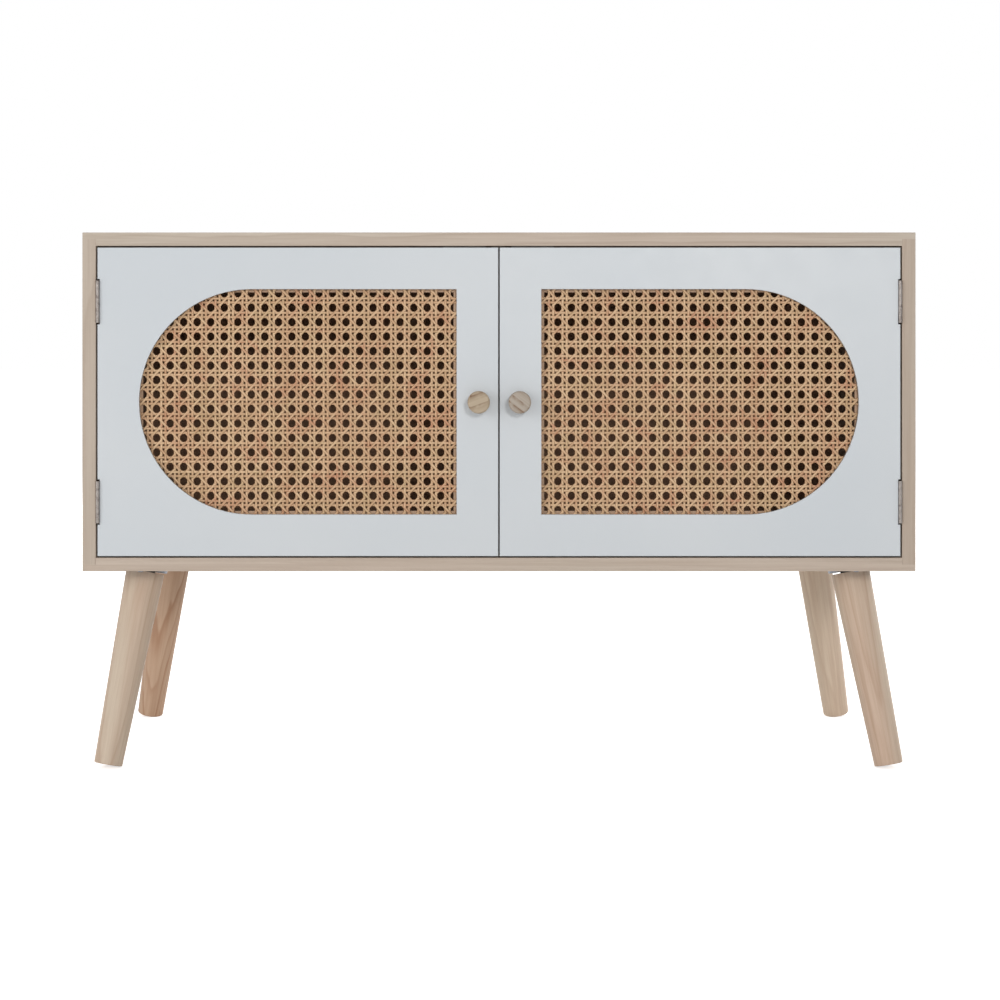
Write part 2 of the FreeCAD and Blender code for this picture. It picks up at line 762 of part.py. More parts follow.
def strike_screw(sketch):
    """Half the outline of a strike plate's screw against the sketch's second axis."""
    outline(sketch, [("0", "0"), ("screw_head_dia / 2", "0"), ("screw_dia / 2", "-strike_thick"),
                     ("screw_dia / 2", "screw_tip - screw_long"), ("0", "-screw_long")])


def strike_hole(sketch):
    """Half the outline of the hole for that screw in its plate."""
    outline(sketch, [("0", "0"), ("screw_head_dia / 2 + screw_clear", "0"), ("screw_bore", "-strike_thick"),
                     ("0", "-strike_thick")])


def pan_screw(sketch):
    """Half the outline of a pan-head wood screw along the sketch's second axis, its head below."""
    outline(sketch, [("0", "-pan_head_thick"), ("pan_flat_dia / 2", "-pan_head_thick"),
                     ("pan_head_dia / 2", "-pan_rim"), ("pan_head_dia / 2", "0"), ("screw_dia / 2", "0"),
                     ("screw_dia / 2", "screw_long - screw_tip"), ("0", "screw_long")])


# ---- hinges ----

def make_leaf(label, side, way, at, first_knuckle, knuckles):
    """A hinge leaf: a plate beside the barrel with every second knuckle rolled round the pin."""
    piece = Piece(label, at)
    face = side * way
    near_face = f"{face} * (barrel_radius - leaf_thick)"
    far_face = f"{face} * barrel_radius"
    start = f"{first_knuckle} * knuckle_pitch"
    piece.pad("z", "0", "hinge_long", lambda sketch: rectangle(
        sketch, near_face, "leaf_start", far_face, "leaf_wide"))
    neck = piece.pad("z", start, "knuckle_long", lambda sketch: rectangle(
        sketch, near_face, "0", far_face, "leaf_start"))
    piece.repeat("z", "2 * knuckle_pitch", str(knuckles), [neck])
    knuckle = piece.pad("z", start, "knuckle_long", lambda sketch: circle(sketch, "0", "0", "barrel_radius"))
    piece.repeat("z", "2 * knuckle_pitch", str(knuckles), [knuckle])
    piece.cut("z", "0", "hinge_long", lambda sketch: circle(sketch, "0", "0", "pin_dia / 2 + pin_clear"))
    hole = piece.turned("Groove", "z", lambda sketch: countersink(sketch, face, "leaf_thick"), "H_Axis",
                        (near_face, "leaf_screw_in", "leaf_screw_low"))
    piece.repeat("z", "leaf_screw_spread", "2", [hole])


def make_hinges(name, side):
    """The two hinges of one door, each a case leaf, a door leaf and a pin."""
    for height, foot in (("upper", "hinge_tops"), ("lower", "hinge_feet")):
        at = (f"{side} * hinge_x", "front_y - barrel_proud", f"lift + {foot}")
        label = f"{name}_{height}_hinge"
        make_leaf(f"{label}_case_leaf", side, 1, at, 0, KNUCKLES // 2 + 1)
        make_leaf(f"{label}_door_leaf", side, -1, at, 1, KNUCKLES // 2)
        pin = Piece(f"{label}_pin", at)
        pin.pad("z", "0", "hinge_long", lambda sketch: circle(sketch, "0", "0", "pin_dia / 2"))


def hinge_screw_rows(piece, way, x):
    """Turn one hinge screw, then repeat it for both screws of both hinges of one side."""
    piece.turned("Revolution", "z", lambda sketch: flat_screw(sketch, way, "leaf_thick"), "H_Axis",
                 (x, "leaf_screw_y", "hinge_feet + leaf_screw_low"))
    piece.repeat("z", "leaf_screw_spread", "2")
    piece.repeat("z", "hinge_tops - hinge_feet", "2")


def make_hinge_screws():
    """The hinge screws: eight in the case's sides, four in each door's edge."""
    case_screws = Piece("case_hinge_screws")
    hinge_screw_rows(case_screws, 1, "inner_half - leaf_thick")
    case_screws.mirror("YZ_Plane")
    for name, side in SIDES.items():
        hinge_screw_rows(Piece(f"{name}_door_hinge_screws"), -side, f"{side} * (notch_edge + leaf_thick)")


# ---- catches ----

def make_catch(name, side):
    """A magnetic catch housing: a block with two ears under the top panel, hollow in front for its magnet."""
    piece = Piece(f"{name}_catch", (f"{side} * catch_mid", "front_y", "lift"))
    ears = "inner_top - catch_ear_thick"
    low = "inner_top - catch_tall"
    piece.pad("y", "catch_front", "catch_deep", lambda sketch: outline(sketch, [
        ("-catch_wide / 2", "inner_top"), ("-catch_wide / 2", ears), ("-catch_block_wide / 2", ears),
        ("-catch_block_wide / 2", low), ("catch_block_wide / 2", low), ("catch_block_wide / 2", ears),
        ("catch_wide / 2", ears), ("catch_wide / 2", "inner_top")]))
    piece.cut("y", "catch_front", "magnet_deep", lambda sketch: rectangle(
        sketch, "-magnet_wide / 2", "catch_mid_z - magnet_tall / 2", "magnet_wide / 2",
        "catch_mid_z + magnet_tall / 2"))

    def holes(sketch):
        for end in (-1, 1):
            circle(sketch, f"{end} * catch_screw_spread / 2", "catch_front + catch_deep / 2", "screw_bore")

    piece.cut("z", ears, "catch_ear_thick", holes)


def make_strike(name, side):
    """A steel strike plate on the door's back, opposite its catch, and its two screws."""
    at = (f"{side} * catch_mid", "front_y + door_thick", "lift + strike_mid_z")
    piece = Piece(f"{name}_strike_plate", at)
    piece.pad("y", "0", "strike_thick", lambda sketch: outline(sketch, [
        ("-strike_wide / 2", "-strike_tall / 2", "strike_corner"),
        ("strike_wide / 2", "-strike_tall / 2", "strike_corner"),
        ("strike_wide / 2", "strike_tall / 2", "strike_corner"),
        ("-strike_wide / 2", "strike_tall / 2", "strike_corner")]))
    first = ("-strike_screw_spread / 2", "strike_thick", "0")
    hole = piece.turned("Groove", "z", strike_hole, "V_Axis", first)
    piece.repeat("x", "strike_screw_spread", "2", [hole])
    screws = Piece(f"{name}_strike_screws", at)
    screws.turned("Revolution", "z", strike_screw, "V_Axis", first)
    screws.repeat("x", "strike_screw_spread", "2")


def make_catches():
    """Both catches with their magnets and screws, and the doors' strike plates."""
    for name, side in SIDES.items():
        make_catch(name, side)
        make_strike(name, side)
    magnets = Piece("catch_magnets")
    magnets.pad("y", "catch_front", "magnet_deep", lambda sketch: rectangle(
        sketch, "catch_mid - magnet_wide / 2", "catch_mid_z - magnet_tall / 2",
        "catch_mid + magnet_wide / 2", "catch_mid_z + magnet_tall / 2"))
    magnets.mirror("YZ_Plane")
    screws = Piece("catch_screws")
    screws.turned("Revolution", "y", pan_screw, "V_Axis",
                  ("catch_mid - catch_screw_spread / 2", "inner_top - catch_ear_thick",
                   "-(catch_front + catch_deep / 2)"))
    screws.repeat("x", "catch_screw_spread", "2")
    screws.mirror("YZ_Plane")


# ---- legs ----

def make_leg(corner, at, turn):
    """A tapered leg that leans along its frame's first axis, its stud and the plate that holds them."""
    upright = Vector(0, 0, 1)
    slope = ("0", "-leg_drop", "0")
    foot = "leg_foot_dia / 2"
    leg = Piece(f"{corner}_leg", at, upright, turn)
    leg.turned("Revolution", "y", lambda sketch: outline(sketch, [
        ("stud_bore", "0"), ("leg_top_dia / 2", "0", "leg_top_round"), (foot, "foot_band - leg_long"),
        (foot, "-leg_long", "foot_round"), ("0", "-leg_long"), ("0", "stud_hole_end"),
        ("stud_bore", "stud_hole_end")]), "V_Axis", slope, "leg_tilt")
    stud = Piece(f"{corner}_leg_stud", at, upright, turn)
    stud.turned("Revolution", "y", lambda sketch: rectangle(
        sketch, "0", "-stud_in_leg", "stud_dia / 2", "stud_in_plate"), "V_Axis", slope, "leg_tilt")

    plate = Piece(f"{corner}_leg_plate", at, upright, turn)
    dome = plate.pad("z", "-dome_deep", "dome_deep", lambda sketch: circle(
        sketch, "0", "0", "dome_dia / 2 - dome_deep * tan(dome_taper)"))
    bind(dome, "TaperAngle", "dome_taper")
    below = plate.sketch("y", lambda sketch: rectangle(
        sketch, "-plate_side", "dome_gap", "plate_side", "dome_gap - plate_side"), slope, "leg_tilt")
    slice_off = plate.body.newObject("PartDesign::Pocket", "slanted_face")
    slice_off.Profile = below
    slice_off.Midplane = True
    bind(slice_off, "Length", "2 * plate_side")
    half = "plate_side / 2"
    plate.pad("z", "-plate_thick", "plate_thick", lambda sketch: outline(sketch, [
        (f"-{half}", f"-{half}", "plate_corner"), (half, f"-{half}", "plate_corner"),
        (half, half, "plate_corner"), (f"-{half}", half, "plate_corner")]))
    plate.turned("Revolution", "y", lambda sketch: rectangle(
        sketch, "0", "0", "collar_dia / 2", "dome_gap + collar_sunk"), "V_Axis", slope, "leg_tilt")
    plate.turned("Groove", "y", lambda sketch: rectangle(
        sketch, "0", "-cut_over", "stud_bore", "dome_deep"), "V_Axis", slope, "leg_tilt")

    def holes(sketch):
        for x_way in (-1, 1):
            for y_way in (-1, 1):
                circle(sketch, f"{x_way} * plate_screw_spread / 2", f"{y_way} * plate_screw_spread / 2",
                       "screw_bore")

    plate.cut("z", "-plate_thick", "plate_thick", holes)


def make_legs():
    """Four legs, turned so that each leans to its own corner, and the screws of their plates."""
    for end_name, end in (("front", -1), ("rear", 1)):
        for name, side in SIDES.items():
            at = (f"{side} * leg_x", f"front_y + case_depth / 2 + {end} * leg_y", "lift")
            turn = str(math.degrees(math.atan2(end, side)))
            make_leg(f"{end_name}_{name}", at, turn)
    screws = Piece("leg_plate_screws", ("0", "front_y + case_depth / 2", "lift"))
    reach = "plate_screw_spread / sqrt(2)"
    for x_step, y_step in ((1, 0), (-1, 0), (0, 1), (0, -1)):
        screws.turned("Revolution", "y", pan_screw, "V_Axis",
                      (f"leg_x + {x_step} * {reach}", "-plate_thick", f"-(leg_y + {y_step} * {reach})"))
    screws.mirror("YZ_Plane")
    screws.mirror("XZ_Plane")


# ---- the whole cabinet ----

def check_model():
    """Stop if any object failed or any piece has no sound shape."""
    for item in doc.Objects:
        if "Invalid" in item.State or "Error" in item.State:
            raise RuntimeError(f"{item.Label} failed: {item.State}")
    for item in doc.Objects:
        if item.isDerivedFrom("PartDesign::Body"):
            if item.Shape.isNull() or not item.Shape.isValid() or not item.Shape.Solids:
                raise RuntimeError(f"{item.Label} has no sound shape")


def write_parts():
    """Write each piece to a file of its own, named after it."""
    os.makedirs("parts", exist_ok=True)
    for item in doc.Objects:
        if item.isDerivedFrom("PartDesign::Body"):
            item.Shape.exportStep(f"parts/{item.Label}.step")


make_top_panel()
make_bottom_panel()
make_divider()
make_back()
for side_name, side_sign in SIDES.items():
    make_side_panel(side_name, side_sign)
    make_door(side_name, side_sign)
    make_cane(side_name, side_sign)
    make_retainer(side_name, side_sign)
    make_knob(side_name, side_sign)
    make_hinges(side_name, side_sign)
make_hinge_screws()
make_catches()
make_legs()
doc.recompute()
check_model()
write_parts()
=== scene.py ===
"""A low record cabinet: washed wooden case, two painted doors with woven cane in half-round openings, turned
knobs, butt hinges and four splayed legs. Lengths are metres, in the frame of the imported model: +X is the
viewer's right, -Y the front, +Z up."""

import json
import math

import bmesh
import bpy
import numpy as np
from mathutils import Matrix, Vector

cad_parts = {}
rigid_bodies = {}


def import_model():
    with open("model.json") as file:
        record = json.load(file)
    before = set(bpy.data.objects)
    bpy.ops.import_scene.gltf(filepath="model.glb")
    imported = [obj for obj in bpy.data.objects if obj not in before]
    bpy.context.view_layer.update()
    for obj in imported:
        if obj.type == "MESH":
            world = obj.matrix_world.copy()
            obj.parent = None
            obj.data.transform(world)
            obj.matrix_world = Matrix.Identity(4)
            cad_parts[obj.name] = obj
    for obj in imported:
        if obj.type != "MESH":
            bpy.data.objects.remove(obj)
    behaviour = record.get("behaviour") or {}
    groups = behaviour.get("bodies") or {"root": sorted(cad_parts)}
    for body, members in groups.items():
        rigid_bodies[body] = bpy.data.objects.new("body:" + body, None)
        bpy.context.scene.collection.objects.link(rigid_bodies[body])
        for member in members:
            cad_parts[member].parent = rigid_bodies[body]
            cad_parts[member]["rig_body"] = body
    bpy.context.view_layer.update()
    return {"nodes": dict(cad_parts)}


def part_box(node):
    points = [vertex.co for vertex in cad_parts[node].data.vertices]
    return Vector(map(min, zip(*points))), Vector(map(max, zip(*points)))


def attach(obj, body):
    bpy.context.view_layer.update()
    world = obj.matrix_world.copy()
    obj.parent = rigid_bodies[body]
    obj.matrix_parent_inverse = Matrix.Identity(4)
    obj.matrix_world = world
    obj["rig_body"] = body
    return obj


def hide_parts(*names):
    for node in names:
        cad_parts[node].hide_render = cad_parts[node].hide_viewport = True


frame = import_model()

MM = 0.001
SIDES = {"left": -1, "right": 1}
ENDS = {"front": -1, "rear": 1}
RIGHT, REAR, UP = np.eye(3)
ALONG_X, ALONG_Z = 0, 2

# ---- meshes ----

MERGED_WITHIN = 1e-6


def body_of(node):
    """The name of the body that a node of the frame rides on."""
    return frame["nodes"][node]["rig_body"]


def middle(node):
    """The middle of a node's box."""
    low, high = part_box(node)
    return np.array((low + high) / 2)


def add_piece(name, mesh, material, slot, *nodes):
    """Put a finished mesh into the scene in place of some nodes, riding on their body."""
    piece = bpy.data.objects.new(name, mesh)
    bpy.context.scene.collection.objects.link(piece)
    mesh.materials.clear()
    mesh.materials.append(material)
    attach(piece, body_of(nodes[0]))
    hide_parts(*nodes)
    return piece


def skin(name, points, faces, values=None, run=None):
    """A smooth mesh from points and faces, with values kept on its points and its UV map, called run, where
    each point's place in it is given."""
    mesh = bpy.data.meshes.new(name)
    mesh.from_pydata(points.reshape(-1, 3).tolist(), [], faces)
    for word, kept in (values or {}).items():
        kind = "FLOAT_VECTOR" if kept.shape[-1] == 3 else "FLOAT"
        layer = mesh.attributes.new(word, kind, "POINT")
        layer.data.foreach_set("vector" if kind == "FLOAT_VECTOR" else "value",
                               np.ascontiguousarray(kept, np.float32).ravel())
    if run is not None:
        corner_points = np.empty(len(mesh.loops), np.int32)
        mesh.loops.foreach_get("vertex_index", corner_points)
        layer = mesh.uv_layers.new(name="run")
        layer.data.foreach_set("uv", run.reshape(-1, 2)[corner_points].astype(np.float32).ravel())
    mesh.shade_smooth()
    mesh.validate()
    return mesh


def face_outwards(mesh, merging=False):
    """Turn all faces outwards, after doubled points are merged where that is asked for."""
    work = bmesh.new()
    work.from_mesh(mesh)
    if merging:
        bmesh.ops.remove_doubles(work, verts=work.verts, dist=MERGED_WITHIN)
    bmesh.ops.recalc_face_normals(work, faces=work.faces)
    work.to_mesh(mesh)
    work.free()


def close_up(mesh, sharp_from):
    """Merge doubled points, turn all faces outwards and keep edges sharp that turn by more degrees than
    sharp_from."""
    face_outwards(mesh, merging=True)
    mesh.shade_smooth()
    mesh.set_sharp_from_angle(angle=math.radians(sharp_from))
    return mesh


def grid_faces(rows, columns):
    """Four-cornered faces between the points of a grid whose every row is a closed ring."""
    row, column = np.meshgrid(np.arange(rows - 1) * columns, np.arange(columns), indexing="ij")
    following = row + columns
    beside = (column + 1) % columns
    corners = [row + column, row + beside, following + beside, following + column]
    return np.stack(corners, -1).reshape(-1, 4)


def rounded(corners, steps=5):
    """A profile through corners (radius, height, rounding): each rounded corner becomes an arc tangent to
    both its sides, whose centre lies on their bisector at rounding / sin(half the angle between them)."""
    points = []
    for k, (x, y, rounding) in enumerate(corners):
        here = np.array([x, y])
        if rounding == 0:
            points.append(here)
            continue
        back = np.array(corners[k - 1][:2]) - here
        ahead = np.array(corners[k + 1][:2]) - here
        back = back / np.linalg.norm(back)
        ahead = ahead / np.linalg.norm(ahead)
        half = math.acos(np.clip(back @ ahead, -1, 1)) / 2
        centre = here + (back + ahead) / np.linalg.norm(back + ahead) * rounding / math.sin(half)
        first = here + back * rounding / math.tan(half) - centre
        last = here + ahead * rounding / math.tan(half) - centre
        turn = math.atan2(first[0] * last[1] - first[1] * last[0], first @ last)
        for share in np.linspace(0, 1, steps + 1):
            c, s = math.cos(turn * share), math.sin(turn * share)
            points.append(centre + np.array([c * first[0] - s * first[1], s * first[0] + c * first[1]]))
    return np.array(points)


def turned_grid(profile, around):
    """A profile (radius r, height h) carried round an axis: the point at angle a is (r cos a, r sin a, h)."""
    angle = np.arange(around) * 2 * math.pi / around
    radius = profile[:, 0, None]
    height = np.repeat(profile[:, 1, None], around, 1)
    return np.stack([radius * np.cos(angle), radius * np.sin(angle), height], -1)


def placed(points, origin, right, up):
    """Points of a piece's own axes set into the frame: right and up are its first and third axes."""
    right = np.array(right, float)
    up = np.array(up, float)
    return np.array(origin) + points @ np.stack([right, np.cross(up, right), up])


def merged_copy(name, node, material, slot):
    """A copy of a node with its corners merged and its curved faces shaded smooth."""
    mesh = frame["nodes"][node].data.copy()
    mesh.name = name
    piece = add_piece(name, close_up(mesh, sharp_from=28), material, slot, node)
    weighted = piece.modifiers.new("even_faces", "WEIGHTED_NORMAL")
    weighted.keep_sharp = True


# ---- finishes ----

WHITE = (1, 1, 1, 1)

# A Mix node's own sockets for numbers and for colours: its share, its two sides and what comes out.
MIX_NUMBERS = (0, 2, 3)
MIX_COLOURS = (0, 6, 7)
MIXED_NUMBER = 0
MIXED_COLOUR = 2


def tone(red, green, blue):
    """A colour given as the 0-255 values of a paint chart, turned into the linear values a shader takes."""
    share = np.array([red, green, blue]) / 255.0
    linear = np.where(share <= 0.04045, share / 12.92, ((share + 0.055) / 1.055) ** 2.4)
    return (*map(float, linear), 1.0)


def grey(shade):
    """A neutral grey of a linear shade, 0 to 1."""
    return (shade, shade, shade, 1)


class Finish:
    """A material in the making: its shader and short ways to add nodes to it."""

    def __init__(self, name):
        self.material = bpy.data.materials.new(name)
        self.material.use_nodes = True
        self.tree = self.material.node_tree
        self.shader = self.tree.nodes["Principled BSDF"]

    def add(self, kind, settings=None, **feeds):
        """Add a node, set its properties and feed its sockets, named as in Blender with _ for a space."""
        made = self.tree.nodes.new("ShaderNode" + kind)
        for word, setting in (settings or {}).items():
            setattr(made, word, setting)
        for word, feed in feeds.items():
            self.feed(made.inputs[word.replace("_", " ")], feed)
        return made

    def feed(self, socket, feed):
        """Give a socket a value, or link it to another node's output."""
        if isinstance(feed, bpy.types.NodeSocket):
            self.tree.links.new(feed, socket)
        else:
            socket.default_value = feed

    def number(self, operation, one, two=0.0, three=0.0):
        """A sum, product or other function of up to three numbers."""
        made = self.add("Math", {"operation": operation})
        for socket, feed in zip(made.inputs, (one, two, three)):
            self.feed(socket, feed)
        return made.outputs[0]

    def between(self, share, low, high, to_low=0.0, to_high=1.0):
        """A number taken smoothly from one range to another, and held at its ends."""
        made = self.add("MapRange", {"interpolation_type": "SMOOTHSTEP"}, Value=share,
                        From_Min=low, From_Max=high, To_Min=to_low, To_Max=to_high)
        return made.outputs[0]

    def mix(self, share, one, two):
        """Two colours mixed by a share."""
        made = self.add("Mix", {"data_type": "RGBA"})
        for socket, feed in zip(MIX_COLOURS, (share, one, two)):
            self.feed(made.inputs[socket], feed)
        return made.outputs[MIXED_COLOUR]

    def stretched(self, vector, scale, shift=(0, 0, 0), turn=(0, 0, 0)):
        """Coordinates scaled, turned by angles in degrees and shifted."""
        angles = [math.radians(angle) for angle in turn]
        made = self.add("Mapping", None, Vector=vector, Scale=scale, Location=shift, Rotation=angles)
        return made.outputs[0]

    def noise(self, vector, scale=1.0, detail=2.0, roughness=0.5):
        """Soft noise from 0 to 1."""
        return self.add("TexNoise", None, Vector=vector, Scale=scale, Detail=detail,
                        Roughness=roughness).outputs["Fac"]

    def place(self):
        """Where a point lies in the frame at rest."""
        return self.add("TexCoord").outputs["Object"]

    def kept(self, word):
        """A value kept on the mesh's points."""
        return self.add("Attribute", {"attribute_name": word}).outputs

    def bump(self, height, deep):
        """Raise the surface by a height from 0 to 1 times a depth in metres."""
        made = self.add("Bump", None, Height=height, Strength=1.0, Distance=deep)
        self.feed(self.shader.inputs["Normal"], made.outputs[0])

    def finish(self, colour, roughness, **fixed):
        """Feed the colour and the roughness, and set the values that are the same all over."""
        self.feed(self.shader.inputs["Base Color"], colour)
        self.feed(self.shader.inputs["Roughness"], roughness)
        for word, setting in fixed.items():
            self.shader.inputs[word.replace("_", " ")].default_value = setting
        return self.material


STAVE_WIDE = 74 * MM
STAVE_SHIFTS = (0.9, 0.030, 0.012)


def grain_run(made, where, along, length, width):
    """Coordinates that count lengths along the grain and widths across it."""
    scale = [1 / width] * 3
    scale[along] = 1 / length
    return made.stretched(where, scale)


def year_rings(made, where, along, pith, lean, gap, waver):
    """Late wood, 0 to 1: the distance from a pith axis, which passes beside the piece and leans, wavers along
    the grain and is counted in rings. Each ring darkens as the cube of its fraction and fades over its last
    seventh, some rings more than others."""
    across = [1.0, 1.0, 1.0]
    across[along] = 0.0
    trunk = made.stretched(where, (1, 1, 1), pith, lean)
    spoke = made.add("VectorMath", {"operation": "MULTIPLY"})
    made.feed(spoke.inputs[0], trunk)
    spoke.inputs[1].default_value = across
    reach = made.add("VectorMath", {"operation": "LENGTH"}, Vector=spoke.outputs[0]).outputs["Value"]
    drift = made.noise(grain_run(made, where, along, length=0.16, width=0.022))
    count = made.number("DIVIDE", made.number("MULTIPLY_ADD", drift, waver, reach), gap)
    share = made.number("FRACT", count)
    late = made.number("MULTIPLY", made.number("POWER", share, 3.0), made.between(share, 0.86, 1.0, 1.6, 0.0))
    fate = made.add("TexWhiteNoise", {"noise_dimensions": "1D"}, W=made.number("FLOOR", count))
    return made.number("MULTIPLY", late, made.between(fate.outputs["Value"], 0.0, 1.0, 0.3, 1.0))


def staves(made, where, width):
    """Coordinates and a number for boards that are glued up from staves side by side across Y: each stave's
    coordinates are shifted by amounts of its own, so that its grain is its own."""
    place = made.add("SeparateXYZ", None, Vector=where).outputs["Y"]
    number = made.number("FLOOR", made.number("DIVIDE", place, width))
    fate = made.add("TexWhiteNoise", {"noise_dimensions": "1D"}, W=number)
    shifted = made.add("VectorMath", {"operation": "MULTIPLY_ADD"})
    made.feed(shifted.inputs[0], fate.outputs["Color"])
    shifted.inputs[1].default_value = STAVE_SHIFTS
    made.feed(shifted.inputs[2], where)
    return shifted.outputs[0], fate.outputs["Value"]


def wood(name, along, pith, lean, light, late, blush, ring_gap=5 * MM, rings=0.4, streaks=0.3, fibres=0.16,
         waver=9 * MM, streak_wide=4.5 * MM, vector=None, stave_wide=None, broken=0.0):
    """Pale washed wood: year rings, soft streaks and fine fibres and pores along the grain, and broad drifts
    from the light colour to the blush. along is the grain's axis; light, late and blush are chart colours;
    rings, streaks and fibres are shares of the late wood's colour, and broken is how far a ring may fade out
    along its way. The grain lies in the frame, or in a vector kept on the mesh."""
    made = Finish(name)
    light, late, blush = (tone(*colour) for colour in (light, late, blush))
    where = made.kept(vector)["Vector"] if vector else made.place()
    if stave_wide:
        where, fate = staves(made, where, stave_wide)

    def along_grain(length, width, **kind):
        """Soft noise drawn out along the grain."""
        return made.noise(grain_run(made, where, along, length, width), **kind)

    drift = made.between(along_grain(length=0.5, width=0.06), 0.34, 0.66)
    streak = along_grain(length=0.26, width=streak_wide)
    fibre = along_grain(length=0.05, width=1.1 * MM, roughness=0.6)
    pores = made.between(along_grain(length=0.012, width=0.4 * MM, detail=1.0), 0.64, 0.76)
    held = made.between(along_grain(length=10 * MM, width=7 * MM), 0.4, 0.58, 1 - broken, 1.0)
    colour = made.mix(drift, light, blush)
    if stave_wide:
        colour = made.mix(made.between(fate, 0.0, 1.0, 0.0, 0.22), colour, late)
    ring = made.number("MULTIPLY", year_rings(made, where, along, pith, lean, ring_gap, waver), rings)
    colour = made.mix(made.number("MULTIPLY", ring, held), colour, late)
    colour = made.mix(made.between(streak, 0.35, 0.75, 0.0, streaks), colour, late)
    colour = made.mix(made.between(fibre, 0.25, 0.8, 0.0, fibres), colour, late)
    colour = made.mix(made.number("MULTIPLY", pores, 0.12), colour, late)
    height = made.number("MULTIPLY_ADD", pores, -0.7, made.number("MULTIPLY", fibre, 0.5))
    made.bump(height, 0.05 * MM)
    return made.finish(colour, made.between(fibre, 0.2, 0.8, 0.5, 0.64), Specular_IOR_Level=0.35)


def board_wood(name, along, pith, lean=(0, 0, 0), light=(201, 190, 175), blush=(199, 183, 168), **grain):
    """The pale, greyish wood of the boards."""
    return wood(name, along, pith, lean, light, (157, 136, 117), blush, **grain)


def bead_wood():
    """The beads' tan wood, its grain along each bead."""
    return board_wood("bead_wood", ALONG_X, (0, 0.02, 0.03), (0, 3, 2), (190, 157, 128), (183, 148, 119),
                      ring_gap=3 * MM, vector="grain")


def leg_wood(name, pith, lean, light, blush, **grain):
    """A leg's wood, its grain along the leg, a little pinker than the boards."""
    return wood(name, ALONG_Z, pith, lean, light, (160, 120, 92), blush, vector="grain", **grain)


def knob_wood(name, pith, light, blush):
    """A knob's wood, cut across so that the grain crosses its face."""
    return wood(name, ALONG_X, pith, (0, 0, 0), light, (122, 94, 70), blush, ring_gap=7.5 * MM, rings=0.95,
                waver=7 * MM, streak_wide=3 * MM, vector="grain", broken=0.75)


def door_paint():
    """Cool grey satin paint, rolled on: a faint orange-peel and slight drifts of shade and gloss."""
    made = Finish("door_paint")
    where = made.place()
    drift = made.noise(where, scale=5.0)
    peel = made.noise(where, scale=900.0)
    gloss = made.noise(where, scale=60.0, detail=3.0)
    colour = made.mix(made.between(drift, 0.3, 0.7), tone(208, 212, 215), tone(204, 209, 213))
    made.bump(peel, 0.012 * MM)
    return made.finish(colour, made.between(gloss, 0.3, 0.7, 0.36, 0.44))


FIBRES_ALONG = 55.0
FIBRES_ACROSS = 5.0
FIBRES_APART = 97.0


def cane_finish():
    """Split cane: tan skin with a slight gloss, each strand its own shade of tan, with painted shade
    darkening each strand towards its edges, long fibres, reddish and olive drifts and dark stains. The UV map
    holds the run along a strand and the place across it, 0 to 1."""
    made = Finish("cane")
    where = made.place()
    unrolled = made.add("UVMap", {"uv_map": "run"}).outputs[0]
    along, across, _ = made.add("SeparateXYZ", None, Vector=unrolled).outputs
    shade = made.kept("shade")["Fac"]
    run = made.add("CombineXYZ", None, X=made.number("MULTIPLY", along, FIBRES_ALONG),
                   Y=made.number("MULTIPLY", across, FIBRES_ACROSS),
                   Z=made.number("MULTIPLY", shade, FIBRES_APART)).outputs[0]
    fibre = made.noise(run, detail=3.0, roughness=0.6)
    patch = made.noise(where, scale=30.0, detail=3.0, roughness=0.6)
    blotch = made.noise(run, scale=0.6, detail=1.0)
    colour = made.mix(shade, tone(184, 142, 105), tone(216, 182, 143))
    colour = made.mix(made.between(fibre, 0.3, 0.75, 0.0, 0.5), colour, tone(224, 194, 156))
    olive = made.number("MULTIPLY", made.between(patch, 0.5, 0.38), made.between(blotch, 0.4, 0.6))
    colour = made.mix(made.number("MULTIPLY", olive, 0.5), colour, tone(172, 148, 104))
    red = made.number("MULTIPLY", made.between(patch, 0.48, 0.66), made.between(blotch, 0.38, 0.6))
    colour = made.mix(made.number("MULTIPLY", red, 0.7), colour, tone(182, 116, 86))
    stain = made.between(made.noise(run, scale=1.7, roughness=0.6), 0.66, 0.74)
    colour = made.mix(made.number("MULTIPLY", stain, 0.6), colour, tone(134, 84, 60))
    # Painted shade: each strand darkens towards its edges, where it meets and passes under its neighbours.
    edge = made.number("ABSOLUTE", made.number("SUBTRACT", across, 0.5))
    colour = made.mix(made.between(edge, 0.3, 0.5, 0.0, 0.8), colour, tone(146, 92, 58))
    made.bump(fibre, 0.05 * MM)
    return made.finish(colour, made.between(fibre, 0.2, 0.8, 0.38, 0.56), Specular_IOR_Level=0.4)


def steel(name, colour, worn, roughness):
    """Plated steel: fine brushing, tarnish in soft spots."""
    made = Finish(name)
    where = made.place()
    brush = made.noise(made.stretched(where, (2600.0, 2600.0, 90.0)))
    spots = made.noise(where, scale=220.0, detail=3.0, roughness=0.6)
    shade = made.mix(made.between(spots, 0.45, 0.7), colour, worn)
    made.bump(brush, 0.01 * MM)
    gloss = made.between(brush, 0.2, 0.8, roughness - 0.06, roughness + 0.08)
    return made.finish(shade, gloss, Metallic=1.0)


def hinge_steel():
    """The hinges' steel and their screws': warm, worn and satin."""
    return steel("hinge_steel", tone(135, 129, 125), tone(100, 92, 88), roughness=0.36)


def zinc_steel():
    """The zinc on plates, studs, nails and the other screws: bluish and duller."""
    return steel("zinc_steel", tone(134, 139, 147), tone(100, 106, 115), roughness=0.48)


def moulded_plastic():
    """The catches' white plastic, with a fine spark-eroded grain."""
    made = Finish("catch_plastic")
    where = made.place()
    grain = made.noise(where, scale=1800.0)
    cloud = made.between(made.noise(where, scale=40.0), 0.3, 0.7)
    colour = made.mix(cloud, tone(226, 225, 220), tone(218, 216, 209))
    made.bump(grain, 0.02 * MM)
    return made.finish(colour, made.between(grain, 0.2, 0.8, 0.38, 0.52))


